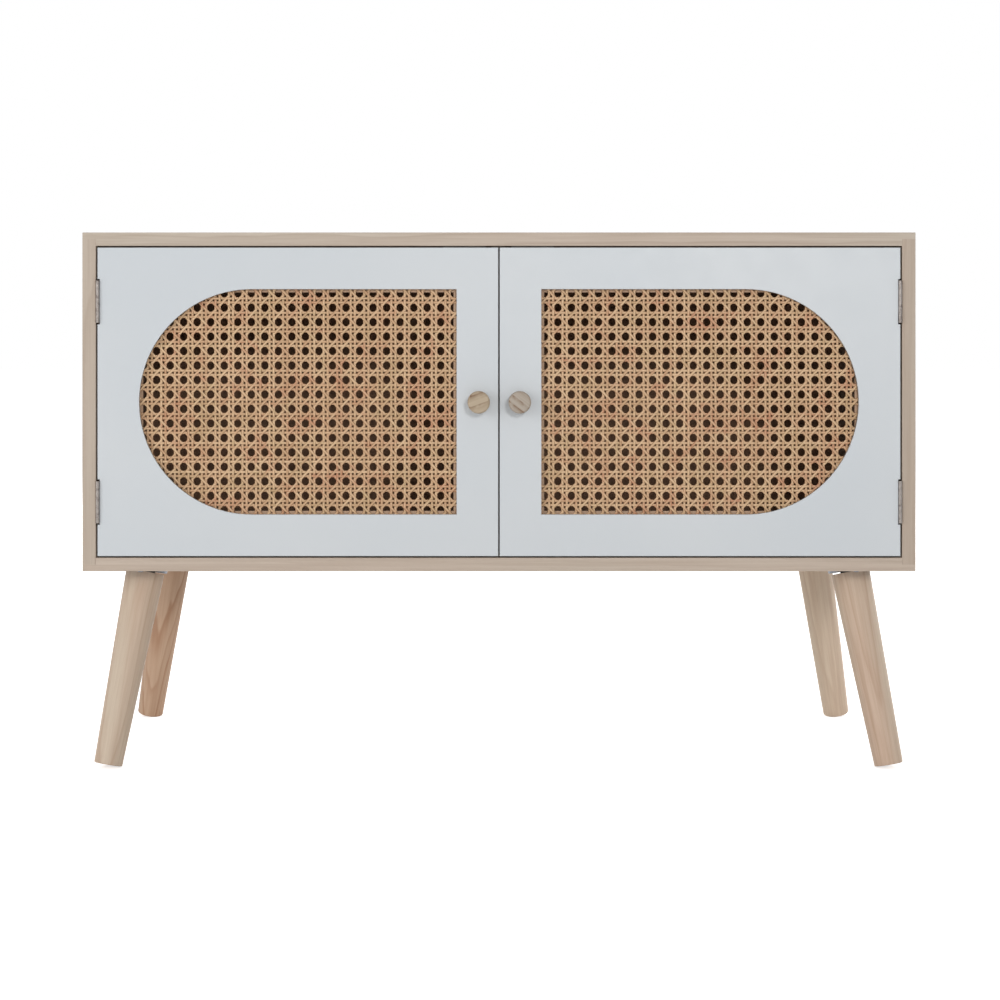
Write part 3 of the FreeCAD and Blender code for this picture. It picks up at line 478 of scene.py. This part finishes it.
def magnet_finish():
    """Dull dark ferrite, gritty."""
    made = Finish("magnet")
    grit = made.noise(made.place(), scale=1500.0, detail=3.0, roughness=0.7)
    made.bump(grit, 0.03 * MM)
    return made.finish(made.mix(grit, tone(44, 44, 47), tone(78, 78, 80)), 0.6, Metallic=0.3)


def pressed_board():
    """The back panel's pressed wood fibre: brown felt with cloudy patches and dark specks."""
    made = Finish("back_board")
    where = made.place()
    felt = made.noise(made.stretched(where, (320.0, 320.0, 900.0)), detail=4.0, roughness=0.7)
    specks = made.between(made.noise(where, scale=1300.0), 0.6, 0.75)
    cloud = made.noise(where, scale=9.0, detail=3.0)
    colour = made.mix(made.between(felt, 0.3, 0.7), tone(162, 126, 101), tone(188, 150, 124))
    colour = made.mix(made.between(cloud, 0.3, 0.7, 0.0, 0.35), colour, tone(152, 116, 92))
    colour = made.mix(made.number("MULTIPLY", specks, 0.5), colour, tone(112, 82, 62))
    made.bump(felt, 0.06 * MM)
    return made.finish(colour, made.between(felt, 0.2, 0.8, 0.6, 0.8), Specular_IOR_Level=0.25)


# ---- woven cane ----

MESH_ACROSS = 14.65 * MM
MESH_UP = 15.67 * MM
MESH_SHIFT = 0.5 * MM
STRAND_WIDE = 2.8 * MM
STRAND_THICK = 0.5 * MM
PAIR_GAP = 1.65 * MM
SLANTED_SWING = 0.52 * MM
STRAIGHT_SWING = 0.26 * MM
STEPS_PER_MESH = 8
FEWEST_STEPS = 3
SHORTEST_SLANT = 0.25
CANE_SEED = 11

# A strand's section in shares of its width and thickness, with its skin in front, and the two faces that
# close its first end.
SECTION = np.array([(-0.5, -0.1), (-0.26, 0.5), (0.26, 0.5), (0.5, -0.1), (0.36, -0.5), (-0.36, -0.5)])
END_FACES = ((3, 2, 1, 0), (0, 5, 4, 3))

# How far a strand strays sideways, how its width differs from the others' and drifts, and the lengths of
# the waves of both. The three waves of a drift add up to no more than about 1.8.
WANDER = 0.13 * MM
WANDER_WAVE = 60 * MM
WIDTH_SPREAD = 0.05
WIDTH_DRIFT = 0.035
WIDTH_WAVE = 45 * MM
DRIFT_WAVES = 3
DRIFT_REACH = 1.8
LATEST_START = 9


def slow_drift(draw, run, amount, wave):
    """A gentle drift along a strand: the sum of sine waves of drawn phase, each shorter and weaker than the
    last, over the most that they reach together."""
    total = np.zeros_like(run)
    for k in range(DRIFT_WAVES):
        total += np.sin(run * 2 * math.pi * (k + 0.7) / wave + draw.uniform(0, 2 * math.pi)) / (k + 1)
    return total * amount / DRIFT_REACH


def strand(draw, path, depth):
    """One strand: its lens-shaped section carried along a path in the sheet's plane, square to the path, and
    lifted towards the viewer by the weave's depth. Gives its points, their places in the UV map, which are
    the run along the strand from a drawn start and the share across it, and its shade."""
    ahead = np.gradient(path, axis=0)
    ahead /= np.linalg.norm(ahead, axis=1)[:, None]
    sideways = np.stack([-ahead[:, 1], ahead[:, 0]], -1)
    run = np.concatenate([[0], np.cumsum(np.linalg.norm(np.diff(path, axis=0), axis=1))])
    middle_line = path + sideways * slow_drift(draw, run, WANDER, WANDER_WAVE)[:, None]
    own_width = 1 + draw.uniform(-WIDTH_SPREAD, WIDTH_SPREAD)
    width = STRAND_WIDE * (own_width + slow_drift(draw, run, WIDTH_DRIFT, WIDTH_WAVE))
    across = middle_line[:, None] + sideways[:, None] * (SECTION[:, 0] * width[:, None])[..., None]
    front = depth[:, None] + SECTION[:, 1] * STRAND_THICK
    points = np.stack([across[..., 0], -front, across[..., 1]], -1)
    along = np.repeat(run[:, None], len(SECTION), 1) + draw.uniform(0, LATEST_START)
    places = np.stack([along, np.tile(SECTION[:, 0] + 0.5, (len(run), 1))], -1)
    shade = np.full(points.shape[:2], draw.uniform())
    return points, places, shade


def strand_set(name, node, strands, origin, material):
    """All strands of one direction as one piece in place of the node's plain strips."""
    around = len(SECTION)
    faces = []
    start = 0
    for points, _, _ in strands:
        rows = len(points)
        last = start + (rows - 1) * around
        faces += (grid_faces(rows, around) + start).tolist()
        faces += [[start + corner for corner in end] for end in END_FACES]
        faces += [[last + corner for corner in reversed(end)] for end in END_FACES]
        start += rows * around
    points = np.concatenate([made[0].reshape(-1, 3) for made in strands]) + origin
    places = np.concatenate([made[1].reshape(-1, 2) for made in strands])
    shades = np.concatenate([made[2].reshape(-1, 1) for made in strands])
    mesh = skin(name, points, faces, {"shade": shades}, places)
    face_outwards(mesh)
    add_piece(name, mesh, material, "cane", node)


def pairs_beside(name, word, pitch, axis):
    """How many pairs lie on each side of the middle one, from the node's own box."""
    low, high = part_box(f"{name}_cane_{word}")
    return round(((high - low)[axis] - 2 * STRAND_WIDE - PAIR_GAP) / 2 / pitch)


def weave(name, seed, material):
    """The weave of one door. u counts meshes across and v counts them up, pairs standing at whole numbers.
    Uprights and crossers plait plainly, rising strands (u - v = k + 1/2) pass over the crossers and under the
    uprights as cos(2 pi v), and falling ones (u + v = k + 1/2) the other way about."""
    draw = np.random.default_rng(seed)
    low_x, high_x = (corner.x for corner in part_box(f"{name}_cane_crossers"))
    low_z, high_z = (corner.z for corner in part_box(f"{name}_cane_uprights"))
    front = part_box(f"{name}_cane_rising")[0].y
    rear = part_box(f"{name}_cane_uprights")[1].y
    half_tall = (high_z - low_z) / 2
    centre_x = (low_x + high_x) / 2 + MESH_SHIFT
    origin = np.array([centre_x, (front + rear) / 2, (low_z + high_z) / 2])
    low_u = (low_x - centre_x) / MESH_ACROSS
    high_u = (high_x - centre_x) / MESH_ACROSS
    high_v = half_tall / MESH_UP
    pair_side = (STRAND_WIDE + PAIR_GAP) / 2

    def paced(low, high):
        """Even steps from one end of a strand to the other, so many to each mesh."""
        return np.linspace(low, high, max(FEWEST_STEPS, math.ceil((high - low) * STEPS_PER_MESH) + 1))

    uprights = []
    pairs = pairs_beside(name, "uprights", MESH_ACROSS, ALONG_X)
    for k in range(-pairs, pairs + 1):
        for way in (-1, 1):
            v = paced(-high_v, high_v)
            path = np.stack([np.full_like(v, k * MESH_ACROSS + way * pair_side), v * MESH_UP], -1)
            uprights.append(strand(draw, path, way * STRAIGHT_SWING * np.sin(2 * math.pi * v)))
    crossers = []
    pairs = pairs_beside(name, "crossers", MESH_UP, ALONG_Z)
    for k in range(-pairs, pairs + 1):
        for way in (-1, 1):
            u = paced(low_u, high_u)
            path = np.stack([u * MESH_ACROSS, np.full_like(u, k * MESH_UP + way * pair_side)], -1)
            crossers.append(strand(draw, path, -way * STRAIGHT_SWING * np.sin(2 * math.pi * u)))
    slanted = {1: [], -1: []}
    reach = math.ceil(high_u + high_v) + 1
    for rise, made in slanted.items():
        for k in range(-reach, reach):
            ends = sorted(rise * (u - k - 0.5) for u in (low_u, high_u))
            low, high = max(-high_v, ends[0]), min(high_v, ends[1])
            if high - low < SHORTEST_SLANT:
                continue
            v = paced(low, high)
            path = np.stack([(rise * v + k + 0.5) * MESH_ACROSS, v * MESH_UP], -1)
            made.append(strand(draw, path, rise * SLANTED_SWING * np.cos(2 * math.pi * v)))
    sets = {"uprights": uprights, "crossers": crossers, "rising": slanted[1], "falling": slanted[-1]}
    for word, made in sets.items():
        strand_set(f"{name}_woven_{word}", f"{name}_cane_{word}", made, origin, material)


# ---- turned pieces ----

LEG_TILT = 13.6
LEG_LONG = 212.2 * MM
LEG_TOP = 21.2 * MM
LEG_FOOT = 15.45 * MM
LEG_TOP_ROUND = 0.6 * MM
FOOT_ROUND = 1.5 * MM
FOOT_BAND = 1.6 * MM
LEG_AROUND = 72


def turn_leg(corner, side, end, material):
    """A tapered leg turned about its slanted axis. It stands with the lowest point of its rounded foot on the
    floor, and its axis runs through the middle of its stud."""
    tilt = math.radians(LEG_TILT)
    outwards = np.array([side, end, 0]) / math.sqrt(2)
    up = UP * math.cos(tilt) - outwards * math.sin(tilt)
    right = outwards * math.cos(tilt) + UP * math.sin(tilt)
    stud = middle(f"{corner}_leg_stud")
    round_height = (LEG_FOOT - FOOT_ROUND) * math.sin(tilt) + FOOT_ROUND
    foot = stud + up * ((round_height - stud[2]) / up[2] - FOOT_ROUND)
    corners = [(0, 0, 0), (LEG_FOOT, 0, FOOT_ROUND), (LEG_FOOT, FOOT_BAND, 0),
               (LEG_TOP, LEG_LONG, LEG_TOP_ROUND), (0, LEG_LONG, 0)]
    grid = turned_grid(rounded(corners, steps=8), LEG_AROUND)
    stations = grid.reshape(-1, 3)
    name = f"{corner}_turned_leg"
    mesh = skin(name, placed(stations, foot, right, up), grid_faces(len(grid), LEG_AROUND).tolist(),
                {"grain": stations})
    add_piece(name, close_up(mesh, sharp_from=40), material, "leg_wood", f"{corner}_leg")


KNOB_FACE = 12 * MM
KNOB_NECK = 9 * MM
KNOB_NECK_LONG = 4 * MM
KNOB_FLARE_END = 9 * MM
KNOB_ROUND = 1.5 * MM
KNOB_RIM_ROUND = 2.5 * MM
KNOB_AROUND = 64


def turn_knob(name, material, grain_angle):
    """A turned knob: neck, flare and flat face with rounded rims. Its grain crosses the face at an angle."""
    low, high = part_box(f"{name}_knob")
    origin = [(low.x + high.x) / 2, high.y, (low.z + high.z) / 2]
    long = high.y - low.y
    corners = [(0, 0, 0), (KNOB_NECK, 0, 0), (KNOB_NECK, KNOB_NECK_LONG, KNOB_ROUND),
               (KNOB_FACE, KNOB_FLARE_END, KNOB_ROUND), (KNOB_FACE, long, KNOB_RIM_ROUND), (0, long, 0)]
    grid = turned_grid(rounded(corners, steps=6), KNOB_AROUND)
    stations = grid.reshape(-1, 3)
    angle = math.radians(grain_angle)
    grain = placed(stations, (0, 0, 0), (math.cos(angle), math.sin(angle), 0), UP)
    piece = f"{name}_turned_knob"
    mesh = skin(piece, placed(stations, origin, RIGHT, -REAR), grid_faces(len(grid), KNOB_AROUND).tolist(),
                {"grain": grain})
    add_piece(piece, close_up(mesh, sharp_from=50), material, "knob_wood", f"{name}_knob")


# ---- beads and screws ----

BEAD_WIDE = 13 * MM
BEAD_ROUNDS = (0.5 * MM, 1.4 * MM)
MITRE_GAP = 0.1 * MM
BEAD_GRAIN_APART = (0.7, 0.013)


def bead_frame(name, material):
    """Four beads behind a door's cane, mitred at the corners. A section (across from the outer edge, depth),
    its rear edges rounded, is carried along each side, and each of its points stops short of the side's ends
    by as much as it lies inwards. The beads stand a little past the opening's straight edges."""
    node = f"{name}_cane_retainer"
    low, high = (np.array(corner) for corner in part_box(node))
    deep = high[1] - low[1]
    section = rounded([(0, 0, 0), (0, deep, BEAD_ROUNDS[0]), (BEAD_WIDE, deep, BEAD_ROUNDS[1]),
                       (BEAD_WIDE, 0, 0)])
    across, depth = section.T
    ring = len(section)
    wide, tall = high[0] - low[0], high[2] - low[2]
    sides = [(low, RIGHT, UP, wide), (low + RIGHT * wide, UP, -RIGHT, tall),
             (low + RIGHT * wide + UP * tall, -RIGHT, -UP, wide), (low + UP * tall, -UP, RIGHT, tall)]
    points, faces, grain = [], [], []
    for number, (corner, along, inwards, long) in enumerate(sides):
        run = np.stack([across + MITRE_GAP, long - across - MITRE_GAP])
        points.append(corner + run[..., None] * along + across[:, None] * inwards + depth[:, None] * REAR)
        run_apart, across_apart = (step * number for step in BEAD_GRAIN_APART)
        grain.append(np.stack([run + run_apart, np.stack([across, across]) + across_apart,
                               np.stack([depth, depth])], -1))
        start = number * 2 * ring
        faces += (grid_faces(2, ring) + start).tolist()
        faces += [list(range(start, start + ring)), list(range(start + ring, start + 2 * ring))]
    piece = f"{name}_mitred_beads"
    mesh = skin(piece, np.stack(points), faces, {"grain": np.stack(grain)})
    add_piece(piece, close_up(mesh, sharp_from=35), material, "bead_wood", node)


SHANK = 1.4 * MM
SCREW_LONG = 12 * MM
SCREW_TIP = 2.5 * MM
FLAT_HEAD = 2.5 * MM
PAN_FLAT = 2 * MM
PAN_HEAD = 3 * MM
PAN_DOME = 1.2 * MM
PAN_THICK = 1.8 * MM
KNOB_SCREW_FLAT = 2.5 * MM
KNOB_SCREW_HEAD = 4 * MM
KNOB_SCREW_DOME = 1.5 * MM
KNOB_SCREW_THICK = 2.4 * MM
KNOB_SHANK = 2 * MM
LEAF_SCREW_SPREAD = 26 * MM
STRIKE_SCREW_SPREAD = 24 * MM
CATCH_SCREW_SPREAD = 38 * MM
PLATE_SCREW_SPREAD = 48 * MM
LEAF_THICK = 1.0 * MM
STRIKE_THICK = 1.2 * MM
SCREW_AROUND = 48
HEAD_ROWS = 10
DOME_STEPS = 6

# The crosses pressed into the heads: how long, wide and deep they are, and how much shallower at their ends.
FLAT_CROSS = (3 * MM, 0.75 * MM, 0.8 * MM)
PAN_CROSS = (3.2 * MM, 0.8 * MM, 0.9 * MM)
KNOB_SCREW_CROSS = (4.4 * MM, 1.0 * MM, 1.2 * MM)
CROSS_EASE = 0.3 * MM
CROSS_RISE = 0.9


def screw_shape(flat, below, cross):
    """A screw with the middle of its head's face at the origin, its shank downwards: a profile turned about
    the axis, with a cross pressed into the face. The cross sinks by the product of two clamped ramps, one on
    the distance across its arms and one on the distance along them, and grows shallower along the arms."""
    cross_long, cross_wide, cross_deep = cross
    face = np.stack([np.linspace(0, flat, HEAD_ROWS), np.zeros(HEAD_ROWS)], -1)
    grid = turned_grid(np.concatenate([face, np.array(below)]), SCREW_AROUND)
    reach = np.abs(grid[..., :2])
    across, along = reach.min(-1), reach.max(-1)
    sunk = np.clip((cross_wide / 2 - across) / CROSS_EASE + 0.5, 0, 1)
    sunk *= np.clip((cross_long / 2 - along) / CROSS_EASE + 0.5, 0, 1)
    sunk[HEAD_ROWS:] = 0
    grid[..., 2] -= cross_deep * sunk * (1 - CROSS_RISE * along / cross_long)
    return grid


def flat_screw(deep):
    """A countersunk wood screw, its head as deep as the metal it lies in."""
    below = [(SHANK, -deep), (SHANK, SCREW_TIP - SCREW_LONG), (0, -SCREW_LONG)]
    return screw_shape(FLAT_HEAD, below, FLAT_CROSS)


def domed_edge(inner, outer, drop):
    """A head's edge, falling from its flat face as a quarter ellipse."""
    turn = np.linspace(0, math.pi / 2, DOME_STEPS)[1:]
    return list(zip(inner + (outer - inner) * np.sin(turn), drop * (np.cos(turn) - 1)))


def pan_screw():
    """A pan-head wood screw."""
    end = -PAN_THICK - SCREW_LONG
    below = domed_edge(PAN_FLAT, PAN_HEAD, PAN_DOME)
    below += [(PAN_HEAD, -PAN_THICK), (SHANK, -PAN_THICK), (SHANK, end + SCREW_TIP), (0, end)]
    return screw_shape(PAN_FLAT, below, PAN_CROSS)


def knob_screw(long):
    """The machine screw that holds a knob."""
    below = domed_edge(KNOB_SCREW_FLAT, KNOB_SCREW_HEAD, KNOB_SCREW_DOME)
    below += [(KNOB_SCREW_HEAD, -KNOB_SCREW_THICK), (KNOB_SHANK, -KNOB_SCREW_THICK)]
    below += [(KNOB_SHANK, -long), (0, -long)]
    return screw_shape(KNOB_SCREW_FLAT, below, KNOB_SCREW_CROSS)


def screw_set(node, shape, facing, heads, material, slot, seed):
    """Copies of one screw as one piece in place of a node, each with its cross turned its own way. heads
    holds the middle of each head's face, and facing the way that the heads look: one for all, or one each."""
    draw = np.random.default_rng(seed)
    points = []
    for place, up in zip(heads, np.broadcast_to(facing, (len(heads), 3))):
        beside = np.roll(up, 1)
        turn = draw.uniform(0, math.pi / 2)
        right = beside * math.cos(turn) + np.cross(up, beside) * math.sin(turn)
        points.append(placed(shape.reshape(-1, 3), place, right, up))
    rows, around, _ = shape.shape
    one = grid_faces(rows, around)
    faces = np.concatenate([one + number * rows * around for number in range(len(points))])
    piece = f"{node}_cross_headed"
    mesh = skin(piece, np.stack(points), faces.tolist())
    add_piece(piece, close_up(mesh, sharp_from=35), material, slot, node)


def leaf_screw_heads(name, part, face, screws):
    """The heads of the four screws in one side's two hinge leaves, whose faces lie at x = face."""
    across = middle(screws)[1]
    return [(face, across, middle(f"{name}_{height}_hinge_{part}")[2] + way * LEAF_SCREW_SPREAD / 2)
            for height in ("upper", "lower") for way in (-1, 1)]


def drive_door_screws(name, side, hinge, zinc):
    """The screws of one door, in its hinge leaves, its strike plate and its knob."""
    node = f"{name}_door_hinge_screws"
    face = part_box(node)[side > 0].x
    heads = leaf_screw_heads(name, "door_leaf", face, node)
    screw_set(node, flat_screw(LEAF_THICK), side * RIGHT, heads, hinge, "hinge_steel", seed=3)
    node = f"{name}_strike_screws"
    x, _, z = middle(node)
    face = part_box(node)[1].y
    heads = [(x + way * STRIKE_SCREW_SPREAD / 2, face, z) for way in (-1, 1)]
    screw_set(node, flat_screw(STRIKE_THICK), REAR, heads, zinc, "steel", seed=5)
    node = f"{name}_knob_screw"
    low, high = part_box(node)
    x, _, z = middle(node)
    screw_set(node, knob_screw(high.y - low.y), REAR, [(x, high.y, z)], zinc, "steel", seed=7 + side)


def drive_case_screws(hinge, zinc):
    """The screws of the case, in its hinge leaves, its catches and the leg plates."""
    leaf_heads, leaf_ways, catch_heads, plate_heads = [], [], [], []
    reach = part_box("case_hinge_screws")[1].x - SCREW_LONG
    catch_y, catch_z = middle("catch_screws")[1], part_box("catch_screws")[0].z
    plate_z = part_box("leg_plate_screws")[0].z
    plate_out = PLATE_SCREW_SPREAD / math.sqrt(2)
    for name, side in SIDES.items():
        leaf_heads += leaf_screw_heads(name, "case_leaf", side * reach, "case_hinge_screws")
        leaf_ways += [-side * RIGHT] * 4
        x = middle(f"{name}_catch")[0]
        catch_heads += [(x + way * CATCH_SCREW_SPREAD / 2, catch_y, catch_z) for way in (-1, 1)]
        for end in ENDS:
            x, y, _ = middle(f"{end}_{name}_leg_plate")
            plate_heads += [(x + across * plate_out, y + back * plate_out, plate_z)
                            for across, back in ((1, 0), (0, 1), (-1, 0), (0, -1))]
    screw_set("case_hinge_screws", flat_screw(LEAF_THICK), leaf_ways, leaf_heads, hinge, "hinge_steel",
              seed=2)
    screw_set("catch_screws", pan_screw(), -UP, catch_heads, zinc, "steel", seed=4)
    screw_set("leg_plate_screws", pan_screw(), -UP, plate_heads, zinc, "steel", seed=6)


# ---- the studio ----

CAMERA_PLACE = (-0.0475, -2.424, 0.467)
CAMERA_LENS = 75
CAMERA_SHIFT = (0.0450, -0.16)

# Each lamp's place, size and power.
LAMPS = {
    "key": ((0.85, -4.6, 1.5), 0.7, 54),
    "fill": ((-2.6, -2.4, 1.0), 2.0, 34),
    "side": ((3.0, 1.35, 1.2), 1.2, 30),
    "behind": ((-1.0, 3.2, 2.4), 2.5, 74),
}
LAMP_TARGET = (0, 0, 0.35)

WORLD_LIGHT = 0.43
FLOOR_REACH = 30
FLOOR_SHADES = (0.80, 0.82)
FLOOR_SHADE_SEEN = 1.0
FLOOR_GLOW_SEEN = 0.6


def set_camera():
    """A level camera in front of the cabinet, shifted down to frame it."""
    camera = bpy.data.cameras.new("camera")
    camera.lens = CAMERA_LENS
    camera.shift_x, camera.shift_y = CAMERA_SHIFT
    holder = bpy.data.objects.new("camera", camera)
    holder.location = CAMERA_PLACE
    holder.rotation_euler = (math.pi / 2, 0, 0)
    bpy.context.scene.collection.objects.link(holder)
    bpy.context.scene.camera = holder


def set_lamps():
    """Square soft lamps, all aimed at the cabinet."""
    for name, (place, size, power) in LAMPS.items():
        lamp = bpy.data.lights.new(name, "AREA")
        lamp.size = size
        lamp.energy = power
        holder = bpy.data.objects.new(name, lamp)
        holder.location = place
        holder.rotation_euler = (Vector(LAMP_TARGET) - Vector(place)).to_track_quat("-Z", "Y").to_euler()
        bpy.context.scene.collection.objects.link(holder)


def white_to_the_camera(tree):
    """One where a ray comes from the camera, a mirror or a glass, else nought."""
    path = tree.nodes.new("ShaderNodeLightPath")
    total = path.outputs["Is Camera Ray"]
    for word in ("Is Glossy Ray", "Is Transmission Ray"):
        adding = tree.nodes.new("ShaderNodeMath")
        adding.operation = "MAXIMUM"
        tree.links.new(total, adding.inputs[0])
        tree.links.new(path.outputs[word], adding.inputs[1])
        total = adding.outputs[0]
    return total


def set_world():
    """Even studio light from all sides, seen as plain white."""
    world = bpy.data.worlds.new("studio")
    bpy.context.scene.world = world
    world.use_nodes = True
    tree = world.node_tree
    strength = tree.nodes.new("ShaderNodeMix")
    share, lighting, seen = (strength.inputs[socket] for socket in MIX_NUMBERS)
    tree.links.new(white_to_the_camera(tree), share)
    lighting.default_value = WORLD_LIGHT
    seen.default_value = 1.0
    background = tree.nodes["Background"]
    background.inputs["Color"].default_value = WHITE
    tree.links.new(strength.outputs[MIXED_NUMBER], background.inputs["Strength"])


def set_floor():
    """A pale floor whose plain lit stretch shows as white and keeps the cabinet's soft shadow."""
    mesh = bpy.data.meshes.new("floor")
    corners = [(x * FLOOR_REACH, y * FLOOR_REACH, 0) for x, y in ((-1, -1), (1, -1), (1, 1), (-1, 1))]
    mesh.from_pydata(corners, [], [(0, 1, 2, 3)])
    made = Finish("floor")
    seen = white_to_the_camera(made.tree)
    grain = made.noise(made.place(), scale=3.0)
    pale = made.mix(made.between(grain, 0.2, 0.8), *map(grey, FLOOR_SHADES))
    shown = made.mix(seen, pale, grey(FLOOR_SHADE_SEEN))
    material = made.finish(shown, 0.9, Specular_IOR_Level=0.0, Emission_Color=WHITE)
    made.feed(made.shader.inputs["Emission Strength"], made.number("MULTIPLY", seen, FLOOR_GLOW_SEEN))
    mesh.materials.append(material)
    floor = bpy.data.objects.new("floor", mesh)
    bpy.context.scene.collection.objects.link(floor)


# ---- the cabinet ----


def dress_node(node, material):
    """Give a node of the frame its finish."""
    mesh = frame["nodes"][node].data
    mesh.materials.clear()
    mesh.materials.append(material)


def finish_case():
    """Boards and back keep their solids and get their finishes, the boards glued up from staves."""
    boards = {
        "top_panel": ("top_board", ALONG_X, (0.03, 0.02, -0.51), (0, 0.5, 0)),
        "bottom_panel": ("bottom_board", ALONG_X, (-0.21, 0.04, -0.31), (0, -0.5, 0)),
        "left_side_panel": ("left_board", ALONG_Z, (0.39, 0.02, 0.1), (0.6, 0, 0),
                            (194, 180, 165), (191, 172, 157)),
        "right_side_panel": ("right_board", ALONG_Z, (-0.4, -0.03, 0.2), (-0.7, 0, 0),
                             (192, 179, 164), (189, 172, 156)),
        "centre_divider": ("divider_board", ALONG_Z, (-0.05, 0.03, 0.1), (0.3, 0, 0)),
    }
    for node, grain in boards.items():
        dress_node(node, board_wood(*grain, stave_wide=STAVE_WIDE))
    dress_node("back_panel", pressed_board())


def finish_doors():
    """The painted doors, their woven cane and the beads that hold it."""
    paint = door_paint()
    cane = cane_finish()
    bead = bead_wood()
    for number, name in enumerate(SIDES):
        merged_copy(f"{name}_painted_door", f"{name}_door_panel", paint, "door_paint")
        bead_frame(name, bead)
        weave(name, CANE_SEED + number, cane)


def finish_hardware(zinc):
    """Hinges, pins, strike plates, catches, nails and screws."""
    hinge = hinge_steel()
    plastic = moulded_plastic()
    for name in SIDES:
        for height in ("upper", "lower"):
            for part in ("case_leaf", "door_leaf", "pin"):
                node = f"{name}_{height}_hinge_{part}"
                merged_copy(node + "_rolled", node, hinge, "hinge_steel")
        merged_copy(f"{name}_strike_plate_plated", f"{name}_strike_plate", zinc, "steel")
        merged_copy(f"{name}_catch_housing", f"{name}_catch", plastic, "catch_plastic")
    merged_copy("back_panel_nails_plated", "back_panel_nails", zinc, "steel")
    dress_node("catch_magnets", magnet_finish())
    for name, side in SIDES.items():
        drive_door_screws(name, side, hinge, zinc)
    drive_case_screws(hinge, zinc)


def finish_legs(zinc):
    """Four turned legs, each of its own piece of wood, the rear ones painted paler to make up for the shade
    under the case, with their studs and plates.
    """
    pale = (208, 192, 172)
    pink = (209, 184, 163)
    woods = {
        "front_left": leg_wood("front_left_leg_wood", (0.050, 0.035, 0), (0.3, 0.1, 0), pale, pink,
                               rings=0.25, streaks=0.2),
        "front_right": leg_wood("front_right_leg_wood", (-0.045, 0.040, 0), (0.2, -0.2, 0), pale, pink,
                                rings=0.26, streaks=0.25, ring_gap=7 * MM),
        # Painted light: the rear legs' tones are lifted above their wood's own, to make up for the shade
        # under the case.
        "rear_left": leg_wood("rear_left_leg_wood", (-0.0226, 0.0226, 0), (-1.1, -1.1, 0),
                              (195, 166, 141), (190, 156, 130), rings=0.8, ring_gap=3.2 * MM),
        "rear_right": leg_wood("rear_right_leg_wood", (-0.040, -0.030, 0), (-0.2, 0.2, 0),
                               (217, 200, 179), (220, 199, 177), rings=0.2, streaks=0.2),
    }
    for corner, material in woods.items():
        end, side = corner.split("_")
        turn_leg(corner, SIDES[side], ENDS[end], material)
        merged_copy(f"{corner}_pressed_plate", f"{corner}_leg_plate", zinc, "steel")
        merged_copy(f"{corner}_plated_stud", f"{corner}_leg_stud", zinc, "steel")


def finish_knobs():
    """Two turned knobs, each with its own grain."""
    left = knob_wood("left_knob_wood", (0, 0.026, 0.011), (192, 176, 152), (184, 166, 143))
    right = knob_wood("right_knob_wood", (0, 0.023, -0.014), (182, 172, 159), (175, 163, 150))
    turn_knob("left", left, grain_angle=-20)
    turn_knob("right", right, grain_angle=38)


set_camera()
set_world()
set_lamps()
set_floor()
bpy.context.scene.view_settings.view_transform = "Standard"
plating = zinc_steel()
finish_case()
finish_doors()
finish_hardware(plating)
finish_legs(plating)
finish_knobs()
